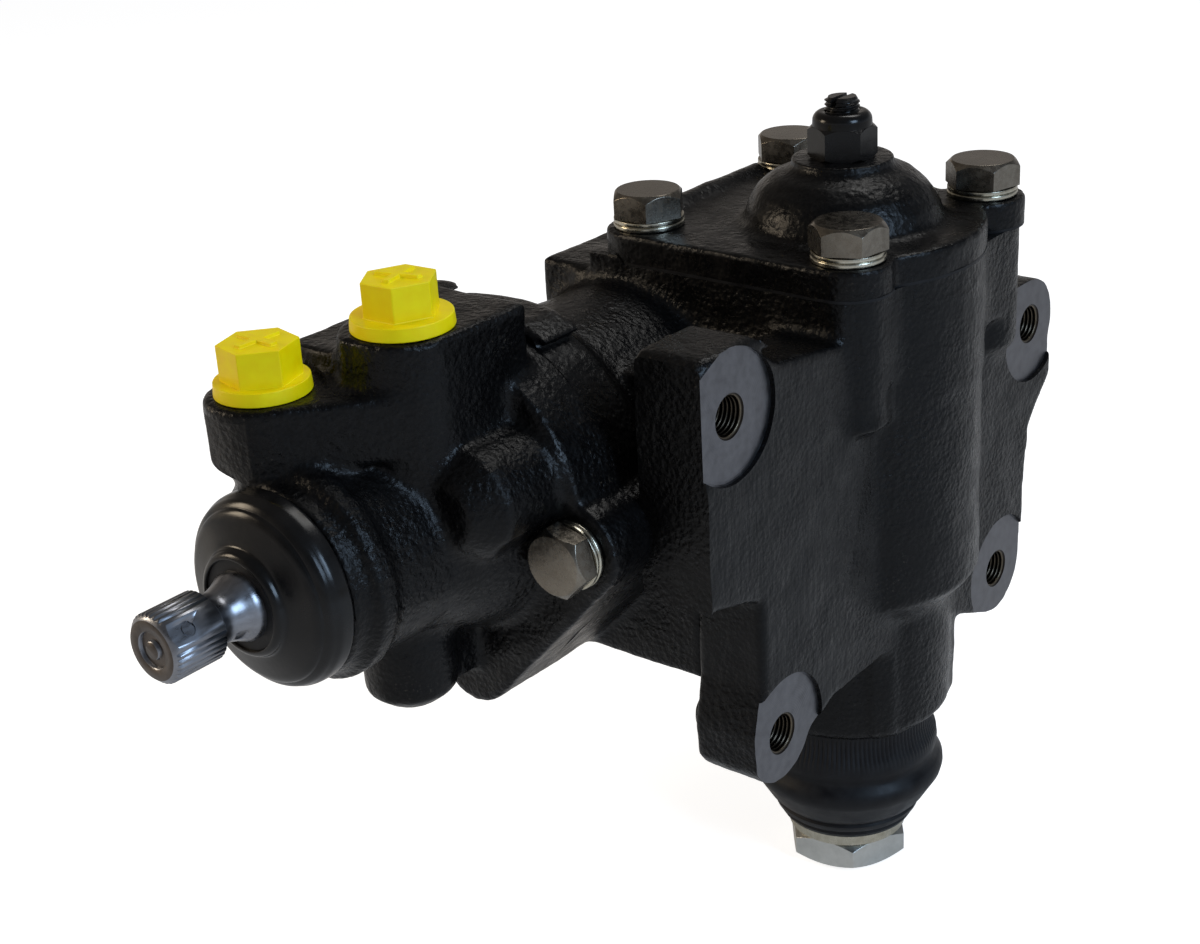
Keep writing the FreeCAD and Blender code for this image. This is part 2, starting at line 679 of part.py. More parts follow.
def valve_housing():
    """Casting round the rotary valve, with its flange, two raised ports and the cast lugs."""
    mass = [
        worm_rod("valve_tube", "valve_tube_radius", "valve_front + 6", "joint_plane - valve_front - 6"),
        worm_rod("valve_nose", "cap_radius", "valve_front", "8"),
        worm_rod("valve_ridge", "valve_ridge_radius", "valve_front + 6", "6"),
        taper("valve_swell", "valve_tube_radius", "valve_bolt_circle - 8", WORM_X,
              FLANGE_FRONT + " - 26", WORM_Z, "26", "y"),
        worm_rod("valve_flange", "flange_radius", FLANGE_FRONT, "flange_thickness"),
    ]
    for i, (x, z) in enumerate(VALVE_BOLTS):
        mass.append(rod("flange_lobe%d" % i, "flange_lobe_radius", x, FLANGE_FRONT, z,
                        "flange_thickness", "y"))
    mass.append(rod("flange_foot", "flange_lobe_radius", FOOT[0], FLANGE_FRONT, FOOT[1],
                    "flange_thickness", "y"))
    mass.append(foot_wall("flange_foot_wall", FLANGE_FRONT, "flange_thickness"))
    mass.append(block("port_block", "high_port_x - port_boss_radius", "high_port_y", WORM_Z,
                      "2 * port_boss_radius", "port_block_rear - high_port_y",
                      "high_port_top - worm_height"))
    mass.append(rod("high_boss", "port_boss_radius", "high_port_x", "high_port_y", WORM_Z,
                    "high_port_top - worm_height"))
    mass.append(rod("low_boss", "port_boss_radius", "low_port_x", "low_port_y",
                    "low_port_top - 17", "17"))
    mass.append(taper("low_boss_foot", "port_boss_radius - 6", "port_boss_radius", "low_port_x",
                      "low_port_y", "low_port_top - 22", "5"))
    mass.append(rod("low_boss_stem", "port_boss_radius - 4", "low_port_x + 5", "low_port_y + 4",
                    WORM_Z, "low_port_top - worm_height - 10"))
    # Outer side of the block, which reaches forward past the pressure port.
    mass.append(block("port_wing", "high_port_x - port_boss_radius - 3", "high_port_y - 10",
                      "low_port_top - 20", "port_boss_radius", "port_block_rear - high_port_y + 10",
                      "high_port_top - low_port_top + 20"))
    mass.append(rod("port_wing_nose", "port_boss_radius / 2", "high_port_x - port_boss_radius / 2 - 3",
                    "high_port_y - 10", "low_port_top - 20", "high_port_top - low_port_top + 20"))
    # A straight wall joins the two port bosses, tangent to both.
    run_x = "(high_port_x - low_port_x)"
    run_y = "(high_port_y - low_port_y)"
    bridge = block("port_bridge", "low_port_x", "low_port_y", "low_port_top - 17",
                   "sqrt(%s * %s + %s * %s)" % (run_x, run_x, run_y, run_y),
                   "2 * port_boss_radius", "17")
    lean = math.degrees(math.atan2(value(run_y), value(run_x)))
    bridge.Placement = Placement(Vector(), Rotation(Vector(0, 0, 1), lean))
    bind(bridge, "Placement.Base.x", "low_port_x + port_boss_radius * sin(%.4f)" % lean)
    bind(bridge, "Placement.Base.y", "low_port_y - port_boss_radius * cos(%.4f)" % lean)
    bind(bridge, "Placement.Base.z", "low_port_top - 17")
    mass.append(bridge)
    mass.append(rod("lug", "lug_radius", WORM_X, "high_port_y", "lug_bottom + 4",
                    "worm_height - lug_bottom - 4"))
    mass.append(taper("lug_foot", "lug_radius - 5", "lug_radius", WORM_X, "high_port_y",
                      "lug_bottom", "4"))
    mass.append(block("lug_rib", "-shaft_offset - 7", "high_port_y", "lug_bottom + 1", "14",
                      "joint_plane - flange_thickness - high_port_y + 2",
                      "worm_height - lug_bottom - 1"))
    mass.append(rod("bulge", "bulge_radius", "-20", FLANGE_FRONT + " - 20", "worm_height + 12",
                    "24", "y"))
    mass.append(taper("bulge_nose", "bulge_radius - 7", "bulge_radius", "-20",
                      FLANGE_FRONT + " - 28", "worm_height + 12", "8", "y"))
    solid = join("valve_mass", mass)
    tools = [
        worm_rod("sleeve_bore", "valve_bore_radius + running_gap", "valve_front", "80"),
        worm_rod("cap_thread_bore", "cap_thread_radius + thread_gap", "valve_front - 1",
                 "cap_thread_length + 2"),
        worm_rod("bearing_bore", "bearing_bore_radius", RACE_SEAT, "40"),
        rod("high_port", "high_thread_radius + thread_gap", "high_port_x", "high_port_y",
            "high_port_top - port_depth", "40"),
        rod("low_port", "low_thread_radius + thread_gap", "low_port_x", "low_port_y",
            "low_port_top - port_depth", "40"),
        rod("high_passage", "3", "high_port_x", "high_port_y", "worm_height",
            "high_port_top - worm_height"),
        worm_rod("seal_groove", "piston_bore_radius + 4.4", "joint_plane - 2", "4"),
    ]
    drill = rod("low_passage", "3", "low_port_x", "low_port_y", "low_port_top - port_depth - 24", "30")
    tools.append(drill)
    keep = worm_rod("seal_land", "piston_bore_radius + 1.6", "joint_plane - 2.5", "4.5")
    groove = carve("groove_ring", tools.pop(6), [keep])
    tools.append(groove)
    for i, (x, z) in enumerate(VALVE_BOLTS):
        tools.append(rod("flange_hole%d" % i, "valve_bolt_radius + 0.5", x, FLANGE_FRONT + " - 30", z,
                         "60", "y"))
        tools.append(rod("flange_spot%d" % i, "valve_bolt_radius + 5.4", x, FLANGE_FRONT + " - 30", z,
                         "30", "y"))
    return finish_node(carve("valve_housing", solid, tools), "valve_housing")


def worm_ring(name, label, inner, outer, start, width):
    """A plain turned ring on the worm's axis."""
    return finish_node(on_worm(name, [
        (inner, start),
        (outer, start),
        (outer, "%s + (%s)" % (start, width)),
        (inner, "%s + (%s)" % (start, width)),
    ]), label)


def seals_and_rings():
    worm_ring("joint_seal", "valve_housing_seal", "piston_bore_radius + 1.7",
              "piston_bore_radius + 4.3", "joint_plane - 1.95", "1.9")
    worm_ring("input_seal", "input_shaft_seal", "input_radius + seal_gap", "input_radius + 2.8",
              "valve_front - cap_boss_height + 0.8", "4.6")
    finish_node(turned("sector_seal", [
        ("journal_radius + seal_gap", "lower_boss_bottom + 4.4"),
        ("journal_radius + 6.9", "lower_boss_bottom + 4.4"),
        ("journal_radius + 6.9", "lower_boss_bottom + 11.8"),
        ("journal_radius + seal_gap", "lower_boss_bottom + 11.8"),
    ]), "sector_shaft_seal")
    ring = turned("snap_ring", [
        ("journal_radius + 4.4", "lower_boss_bottom + 2.5"),
        ("journal_radius + 7.9", "lower_boss_bottom + 2.5"),
        ("journal_radius + 7.9", "lower_boss_bottom + 4.1"),
        ("journal_radius + 4.4", "lower_boss_bottom + 4.1"),
    ])
    gap = block("snap_gap", "0", "-3", "lower_boss_bottom", "40", "6", "8")
    finish_node(carve("seal_ring", ring, [gap]), "seal_retaining_ring")


def needle_bearing(name, label, inner, shell_outer, start, length, along, x, y, z):
    """Drawn-cup needle bearing: a thin shell with its needles."""
    radius = (value(shell_outer) - value(inner)) * 0.5 - 0.55
    pitch = value(inner) + radius + value("running_gap") * 0.6
    needle_count = int(min(value("needles"), math.pi / math.asin(radius / pitch) * 0.97))
    cup_inner = "%.5f" % (pitch + radius + 0.02)
    parts = [turned(name + "_cup", [
        (cup_inner, "0"),
        (shell_outer, "0"),
        (shell_outer, length),
        (cup_inner, length),
    ], x, y, z, along)]
    for i in range(needle_count):
        angle = math.tau * i / needle_count
        u = "%.5f" % (pitch * math.cos(angle))
        v = "%.5f" % (pitch * math.sin(angle))
        place = {"z": ("%s + %s" % (x, u), "%s + %s" % (y, v), "%s + 1" % z),
                 "y": ("%s + %s" % (x, u), "%s + 1" % y, "%s + %s" % (z, v))}[along]
        parts.append(rod("%s_needle%d" % (name, i), "%.5f" % radius, place[0], place[1], place[2],
                         "(%s) - 2" % length, along))
    finish_node(bundle(name, parts), label)


def bearings():
    needle_bearing("lower_bearing", "lower_sector_bearing", "journal_radius", "journal_radius + 3.98",
                   "lower_boss_bottom + 24", "26", "z", "0", "0", "lower_boss_bottom + 24")
    needle_bearing("upper_bearing", "upper_sector_bearing", "upper_journal_radius",
                   "upper_journal_radius + 3.98", "housing_top - 8", "12", "z", "0", "0",
                   "housing_top - 8")
    needle_bearing("input_bearing", "input_needle_bearing", "input_radius", "input_radius + 2.98",
                   "valve_front - 5", "12", "y", WORM_X, "valve_front - 5", WORM_Z)
    # Two rows of balls hold the worm's flange endways between three races.
    flange = value(WORM_FLANGE)
    ball = value("bearing_ball_radius")
    track = value("worm_flange_radius") - ball - 0.7
    reach = ball + value("ball_gap")
    width = value("race_width")
    for side, label in ((-1, "front"), (1, "rear")):
        centre = flange + side * (value("worm_flange_width") / 2 + reach)
        balls = []
        count = int(value("bearing_balls"))
        for i in range(count):
            angle = math.tau * i / count
            sphere = doc.addObject("Part::Sphere", "%s_ball%d" % (label, i))
            bind(sphere, "Radius", "bearing_ball_radius")
            put(sphere, "-shaft_offset + %.5f" % (track * math.cos(angle)), "%.5f" % centre,
                "worm_height + %.5f" % (track * math.sin(angle)))
            balls.append(sphere)
        finish_node(bundle(label + "_balls", balls), "worm_bearing_balls_" + label)
        start = min(centre + side * reach, centre + side * (reach + width))
        worm_ring(label + "_race", "worm_bearing_race_" + label, "worm_radius + 0.6",
                  "bearing_bore_radius - 0.05", "%.4f" % start, "race_width")


def front_cap():
    """Smooth domed plug that closes the valve housing, with the seal's boss in its middle."""
    face = "valve_front - cap_rim"
    body = on_worm("cap_body", [
        ("input_radius + 0.4", "valve_front - cap_boss_height"),
        ("cap_boss_radius - 1", "valve_front - cap_boss_height"),
        ("cap_boss_radius", "valve_front - cap_boss_height + 1"),
        ("cap_boss_radius + 0.3", "valve_front - cap_boss_height + 3"),
        ("cap_boss_radius + 3", face + " - 3"),
        ("cap_radius - 5", face + " - 1.6"),
        ("cap_radius - 2.4", face + " - 0.4"),
        ("cap_radius - 0.7", face + " + 1.4"),
        ("cap_radius", face + " + 3.6"),
        ("cap_radius", "valve_front"),
        ("cap_thread_radius", "valve_front"),
        ("cap_thread_radius", "valve_front + cap_thread_length"),
        ("input_radius + 5", "valve_front + cap_thread_length"),
        ("input_radius + 5", "valve_front + 8"),
        ("input_radius + 0.4", "valve_front + 8"),
    ])
    tools = [
        worm_rod("cap_seal_pocket", "input_radius + 2.82", "valve_front - cap_boss_height - 1", "6.6"),
        worm_rod("cap_bearing_pocket", "input_radius + 3", "valve_front - 5.2", "30"),
    ]
    return finish_node(carve("front_cap", body, tools), "front_cap")


def input_shaft():
    """Splined stub shaft and valve spool in one piece, with six flow slots."""
    end = "input_end"
    spline_end = "input_end + spline_length"
    body = on_worm("input_body", [
        ("0", end),
        ("2.2", end),
        ("2.6", end + " + 0.9"),
        ("4.4", end + " + 0.9"),
        ("4.8", end),
        ("input_radius - 1.4", end),
        ("input_radius", end + " + 1.4"),
        ("input_radius", spline_end),
        ("neck_radius", spline_end + " + 2"),
        ("neck_radius", spline_end + " + 5"),
        ("neck_radius + 0.9", spline_end + " + 8"),
        ("input_radius", spline_end + " + 11"),
        ("input_radius", "spool_front - 8"),
        ("spool_radius", "spool_front - 7"),
        ("spool_radius", "spool_rear"),
        ("bar_bore_radius", "spool_rear"),
        ("bar_bore_radius", end + " + 14"),
        ("0", end + " + 13"),
    ])
    tools = []
    teeth = int(value("spline_teeth"))
    bare = int(value("spline_gap_teeth"))
    for i in range(teeth - bare):
        # The bare stretch faces up and out, square to the punch mark.
        angle = 360.0 * (i + 0.5 + bare / 2.0) / teeth + 18.0
        tooth = padded("groove%d" % i, [
            ("input_radius - spline_depth", "0"),
            ("input_radius + 0.8", "-0.95"),
            ("input_radius + 0.8", "0.95"),
        ], "spline_length + 4", WORM_X, "input_end - 2", WORM_Z, "y", angle)
        tools.append(tooth)
    for i in range(6):
        slot = block("flow_slot%d" % i, "spool_radius - 2.4", "-2", "0", "6", "4",
                     "spool_rear - spool_front - 14")
        slot.Placement = Placement(Vector(), Rotation())
        turn = Rotation(Vector(0, 1, 0), 60.0 * i) * TURN["y"]
        slot.Placement = Placement(Vector(), turn)
        away = turn.multVec(Vector(value("spool_radius") - 2.4, -2, 0))
        bind(slot, "Placement.Base.x", "-shaft_offset + %.5f" % away.x)
        bind(slot, "Placement.Base.y", "spool_front + 7")
        bind(slot, "Placement.Base.z", "worm_height + %.5f" % away.z)
        tools.append(slot)
    tools.append(rod("input_pin_hole", "pin_radius + thread_gap", WORM_X,
                     "input_end + input_pin_setback", "worm_height - 20", "40"))
    tools.append(rod("input_dimple", "2", WORM_X, "input_end + 7", "worm_height + input_radius - 0.3",
                     "4"))
    return finish_node(carve("input_shaft", body, tools), "input_shaft")


def valve_sleeve():
    """Sleeve round the spool with four seal rings and rows of flow holes."""
    body = on_worm("sleeve_body", [
        ("spool_radius + 0.03", "spool_front"),
        ("valve_bore_radius - 0.35", "spool_front"),
        ("valve_bore_radius - 0.35", "spool_rear + 2.6"),
        ("spool_radius + 0.03", "spool_rear + 2.6"),
    ])
    tools = []
    for i in range(4):
        start = "spool_front + 2 + %d * sleeve_ring_spacing" % i
        outer = worm_rod("ring_seat_outer%d" % i, "valve_bore_radius + 1", start, "2.2")
        inner = worm_rod("ring_seat_inner%d" % i, "valve_bore_radius - 2", start + " - 1", "4.2")
        tools.append(carve("ring_seat%d" % i, outer, [inner]))
    for i in range(3):
        for turn in range(4):
            angle = 90.0 * turn + 30.0 * i
            y = "spool_front + 3 + %g * sleeve_ring_spacing" % (i + 0.5)
            hole = rod("flow_hole%d_%d" % (i, turn), "1.6", WORM_X, y, WORM_Z, "30")
            hole.Placement = Placement(Vector(), Rotation(Vector(0, 1, 0), angle))
            bind(hole, "Placement.Base.x", WORM_X)
            bind(hole, "Placement.Base.y", y)
            bind(hole, "Placement.Base.z", WORM_Z)
            tools.append(hole)
    finish_node(carve("valve_sleeve", body, tools), "valve_sleeve")
    rings = []
    for i in range(4):
        front = "spool_front + 2.05 + %d * sleeve_ring_spacing" % i
        rings.append(on_worm("sleeve_ring%d" % i, [
            ("valve_bore_radius - 1.95", front),
            ("valve_bore_radius", front),
            ("valve_bore_radius", front + " + 2.1"),
            ("valve_bore_radius - 1.95", front + " + 2.1"),
        ]))
    finish_node(bundle("sleeve_rings", rings), "valve_sleeve_rings")


def helix_groove(start, turns, radius, reach):
    """Round-bottomed helical groove on the worm's axis, right-handed, from a start along Y."""
    lead = value("screw_lead")
    path = Part.makeHelix(lead, lead * turns, radius)
    slope = math.atan2(lead, math.tau * radius)
    section = Part.Circle(Vector(radius, 0, 0), Vector(0, math.cos(slope), math.sin(slope)), reach)
    groove = Part.Wire(path).makePipeShell([Part.Wire([section.toShape()])], True, True)
    # The helix starts at the phase that lines every groove up with the circuit's first ball.
    phase = 360.0 * (start - value("circuit_start")) / lead
    groove.Placement = Placement(
        Vector(value(WORM_X), start, value(WORM_Z)),
        TURN["y"] * Rotation(Vector(0, 0, 1), phase + 180.0))
    return groove


def helix_point(travel, radius):
    """A point of the ball path, the given distance along Y from the circuit's first ball."""
    angle = math.tau * travel / value("screw_lead") + math.pi
    local = TURN["y"].multVec(Vector(radius * math.cos(angle), radius * math.sin(angle), 0))
    return Vector(value(WORM_X), value("circuit_start") + travel, value(WORM_Z)) + local


def worm_shaft():
    """Ball-screw worm with its bearing flange and the drive end that turns the sleeve."""
    front = WORM_FLANGE + " - worm_flange_width / 2"
    rear = WORM_FLANGE + " + worm_flange_width / 2"
    body = on_worm("worm_body", [
        ("bar_radius + 0.05", "spool_rear + 0.6"),
        ("spool_radius + 0.02", "spool_rear + 0.6"),
        ("spool_radius + 0.02", "spool_rear + 2.7"),
        ("worm_radius + 0.4", "spool_rear + 2.7"),
        ("worm_radius + 0.4", front),
        ("worm_flange_radius", front),
        ("worm_flange_radius", rear),
        ("worm_radius + 0.4", rear),
        ("worm_radius + 0.4", "joint_plane"),
        ("worm_radius", "joint_plane + 2"),
        ("worm_radius", "worm_end - 1.5"),
        ("worm_radius - 1.5", "worm_end"),
        ("0", "worm_end"),
        ("0", rear + " + 0.5"),
        ("bar_radius + 0.05", rear + " + 0.5"),
    ])
    doc.recompute()
    travel = value("gear_pitch_radius") * math.radians(44.0)
    first = value("circuit_start") - travel - value("screw_lead") * 0.6
    last = value("circuit_start") + value("circuit_turns") * value("screw_lead") + travel
    turns = (last - first) / value("screw_lead") + 0.6
    groove = helix_groove(first, turns, value("ball_circle_radius"),
                          value("ball_radius + groove_gap"))
    pin_start = Vector(value(WORM_X) - 30, value(WORM_FLANGE), value(WORM_Z))
    pin = Part.makeCylinder(value("pin_radius + thread_gap"), 60, pin_start, Vector(1, 0, 0))
    item = doc.addObject("Part::Feature", "worm_shaft")
    item.Shape = body.Shape.cut(groove).cut(pin)
    return finish_node(item, "worm_shaft")


def torsion_bar():
    body = on_worm("bar_body", [
        ("0", "input_end + 14.6"),
        ("bar_radius", "input_end + 14.6"),
        ("bar_radius", "input_end + 30"),
        ("bar_neck_radius", "input_end + 34"),
        ("bar_neck_radius", "spool_rear - 6"),
        ("bar_radius", "spool_rear - 2"),
        ("bar_radius", WORM_FLANGE + " + worm_flange_width / 2 + 0.4"),
        ("0", WORM_FLANGE + " + worm_flange_width / 2 + 0.4"),
    ])
    tools = [
        rod("bar_upper_hole", "pin_radius + pin_slack", WORM_X, "input_end + input_pin_setback",
            "worm_height - 20", "40"),
        rod("bar_lower_hole", "pin_radius + thread_gap", "-shaft_offset - 20", WORM_FLANGE, WORM_Z,
            "40", "x"),
    ]
    finish_node(carve("torsion_bar", body, tools), "torsion_bar")
    finish_node(rod("upper_pin", "pin_radius", WORM_X, "input_end + input_pin_setback",
                    "worm_height - input_radius + 0.6", "2 * input_radius - 1.2"), "torsion_bar_input_pin")
    finish_node(rod("lower_pin", "pin_radius", "-shaft_offset - worm_flange_radius + 1", WORM_FLANGE,
                    WORM_Z, "2 * worm_flange_radius - 2", "x"), "torsion_bar_worm_pin")


def rack_tooth_line():
    """Distance from the sector's axis to the rack's pitch line, tips and roots."""
    pitch = value("gear_pitch_radius")
    limit = pitch * math.sin(math.radians(value("pressure_angle"))) ** 2
    tip = pitch - 0.97 * limit
    root = pitch + 0.84 * value("tooth_module") + 0.5
    return pitch, tip, root


def rack_piston():
    """Piston with rack teeth on the sector's side, the ball nut's groove and the return guide's seat."""
    pitch, tip, root = rack_tooth_line()
    module = value("tooth_module")
    flank = math.tan(math.radians(value("pressure_angle")))
    centre_x, centre_z = value(WORM_X), value(WORM_Z)
    outer = value("piston_bore_radius - piston_gap")
    front, rear = value("piston_front"), value("piston_rear")
    along = Vector(0, 1, 0)
    solid = Part.makeCylinder(outer, rear - front, Vector(centre_x, front, centre_z), along)
    # Rack: three gaps for the sector's three teeth, with open ends past the outer half teeth.
    step = math.pi * module
    gap_half = step / 4
    for number in (-1, 0, 1):
        middle = number * step
        wide = gap_half + (pitch - tip) * flank
        narrow = gap_half - (root - pitch) * flank
        corners = [
            Vector(-root, middle - narrow, 0),
            Vector(-tip + 1, middle - wide - flank, 0),
            Vector(-tip + 1, middle + wide + flank, 0),
            Vector(-root, middle + narrow, 0),
        ]
        profile = Part.Face(Part.Wire(Part.makePolygon(corners + corners[:1])))
        profile.translate(Vector(0, 0, centre_z - 40))
        solid = solid.cut(profile.extrude(Vector(0, 0, 80)))
    land = Part.makeBox(60, 3 * step + 2 * (pitch - tip) * flank, 80,
                        Vector(-tip, -1.5 * step - (pitch - tip) * flank, centre_z - 40))
    solid = solid.cut(land)
    # Bore, ball groove and seal ring groove.
    bore = Part.makeCylinder(value("nut_bore_radius"), rear - front + 2,
                             Vector(centre_x, front - 1, centre_z), along)
    solid = solid.cut(bore)
    plug_seat = Part.makeCylinder(value("nut_bore_radius") + 1.5, 20,
                                  Vector(centre_x, rear - 6.5, centre_z), along)
    solid = solid.cut(plug_seat)
    turns = value("circuit_turns")
    groove = helix_groove(value("circuit_start"), turns, value("ball_circle_radius"),
                          value("ball_radius + groove_gap"))
    solid = solid.cut(groove)
    ring_start = value("ring_front")
    seat = Part.makeCylinder(outer + 1, value("ring_width"), Vector(centre_x, ring_start, centre_z), along)
    seat = seat.cut(Part.makeCylinder(outer - 3.2, value("ring_width"),
                                      Vector(centre_x, ring_start, centre_z), along))
    solid = solid.cut(seat)
    # Flat, trench and two ports for the return guide, on the side away from the sector.
    guide_x = centre_x - value("guide_radius")
    start = value("circuit_start")
    run = value("circuit_turns * screw_lead")
    clear = value("ball_radius") + 1.25
    flat = Part.makeBox(outer, run + 14, 20, Vector(guide_x - outer - 1, start - 7, centre_z - 10))
    solid = solid.cut(flat)
    trench = Part.makeCylinder(clear + 0.05, run + 2, Vector(guide_x, start - 1, centre_z), along)
    solid = solid.cut(trench)
    for y in (start, start + run):
        inside = Vector(centre_x - value("nut_bore_radius") + 1, y, centre_z)
        port = Part.makeCylinder(clear, outer, inside, Vector(-1, 0, 0))
        solid = solid.cut(port)
        pocket = Part.makeSphere(value("ball_radius + groove_gap") + 0.12,
                                 helix_point(y - start, value("ball_circle_radius")))
        solid = solid.cut(pocket)
    for y in (start - 4.5, start + run + 4.5):
        screw = Part.makeCylinder(1.35, 8, Vector(guide_x + 6, y, centre_z + 7), Vector(-1, 0, 0))
        solid = solid.cut(screw)
    item = doc.addObject("Part::Feature", "rack_piston")
    item.Shape = solid
    return finish_node(item, "rack_piston")


def piston_small_parts():
    outer = "piston_bore_radius - piston_gap"
    worm_ring("piston_ring", "piston_ring", "piston_bore_radius - 1.7", "piston_bore_radius - 0.02",
              "ring_front + 0.05", "ring_width - 0.1")
    worm_ring("ring_expander", "piston_ring_expander", outer + " - 3.1", "piston_bore_radius - 1.75",
              "ring_front + 0.3", "ring_width - 0.6")
    plug = on_worm("piston_plug_body", [
        ("0", "piston_rear - 6.4"),
        ("nut_bore_radius + 1.45", "piston_rear - 6.4"),
        ("nut_bore_radius + 1.45", "piston_rear"),
        ("0", "piston_rear"),
    ])
    square = block("plug_square", "-shaft_offset - 5", "piston_rear - 4", "worm_height - 5", "10", "8", "10")
    finish_node(carve("piston_plug", plug, [square]), "piston_end_plug")


def balls_and_guide():
    """Ball train round the worm, its return tube, and the clamp that holds the tube."""
    radius = value("ball_radius")
    circle = value("ball_circle_radius")
    lead = value("screw_lead")
    run = value("circuit_turns") * lead
    per_turn = int(value("balls_per_turn"))
    total = int(value("circuit_turns")) * per_turn
    centre_x, centre_z = value(WORM_X), value(WORM_Z)
    start = value("circuit_start")
    points = [helix_point(run * i / total, circle) for i in range(total + 1)]
    guide_x = centre_x - value("guide_radius")
    for i in range(1, 4):
        points.append(Vector(guide_x, start + run * i / 4.0, centre_z))
    balls = []
    for i, point in enumerate(points):
        sphere = doc.addObject("Part::Sphere", "ball%d" % i)
        bind(sphere, "Radius", "ball_radius")
        sphere.Placement = Placement(point, Rotation())
        balls.append(sphere)
    finish_node(bundle("balls", balls), "recirculating_balls")
    # Return tube: out of the nut, along the flat and back in.
    leg_in = centre_x - value("nut_bore_radius") - 1.0
    bend = radius + 1.1
    near, far = start, start + run

    def tube_form(reach):
        across, along = Vector(-1, 0, 0), Vector(0, 1, 0)
        leg = leg_in - guide_x - bend
        form = Part.makeCylinder(reach, run - 2 * bend, Vector(guide_x, near + bend, centre_z), along)
        for y, first in ((near, 180), (far, 90)):
            form = form.fuse(Part.makeCylinder(reach, leg, Vector(leg_in, y, centre_z), across))
            centre = Vector(guide_x + bend, y + (bend if y == near else -bend), centre_z)
            elbow = Part.makeTorus(bend, reach, Vector(), Vector(0, 0, 1), -180, 180, 90)
            elbow.Placement = Placement(centre, Rotation(Vector(0, 0, 1), first))
            form = form.fuse(elbow)
        return form

    tube = doc.addObject("Part::Feature", "return_tube")
    tube.Shape = tube_form(radius + 0.85).cut(tube_form(radius + 0.12))
    finish_node(tube, "ball_return_tube")


def guide_clamp():
    centre_z = "worm_height"
    x = "-shaft_offset - guide_radius - 1"
    length = "circuit_turns * screw_lead + 13"
    strap = block("strap", x + " - 3.4", "circuit_start - 6.5", centre_z + " - 9.5", "3.3", length, "19")
    groove = rod("strap_groove", "ball_radius + 0.95", x + " + 1", "circuit_start - 8", centre_z,
                 length + " + 4", "y")
    screw_rows = ("circuit_start - 4.5", "circuit_start + circuit_turns * screw_lead + 4.5")
    holes = [rod("strap_hole%d" % i, "1.5", x + " - 10", y, centre_z + " + 7", "20", "x")
             for i, y in enumerate(screw_rows)]
    finish_node(carve("guide_clamp", strap, [groove] + holes), "ball_guide_clamp")
    screws = []
    for i, y in enumerate(screw_rows):
        head = rod("clamp_head%d" % i, "2.4", x + " - 5.4", y, centre_z + " + 7", "2", "x")
        stem = rod("clamp_stem%d" % i, "1.3", x + " - 3.6", y, centre_z + " + 7", "8", "x")
        screws.append(join("clamp_screw%d" % i, [head, stem]))
    finish_node(bundle("clamp_screws", screws), "ball_guide_screws")


def involute_flank(base, start, end, count):
    """Points of an involute between two radii, as radius and polar angle."""
    points = []
    for i in range(count + 1):
        radius = start + (end - start) * i / count
        roll = math.sqrt(max(radius * radius - base * base, 0.0)) / base
        points.append((radius, roll - math.atan(roll)))
    return points


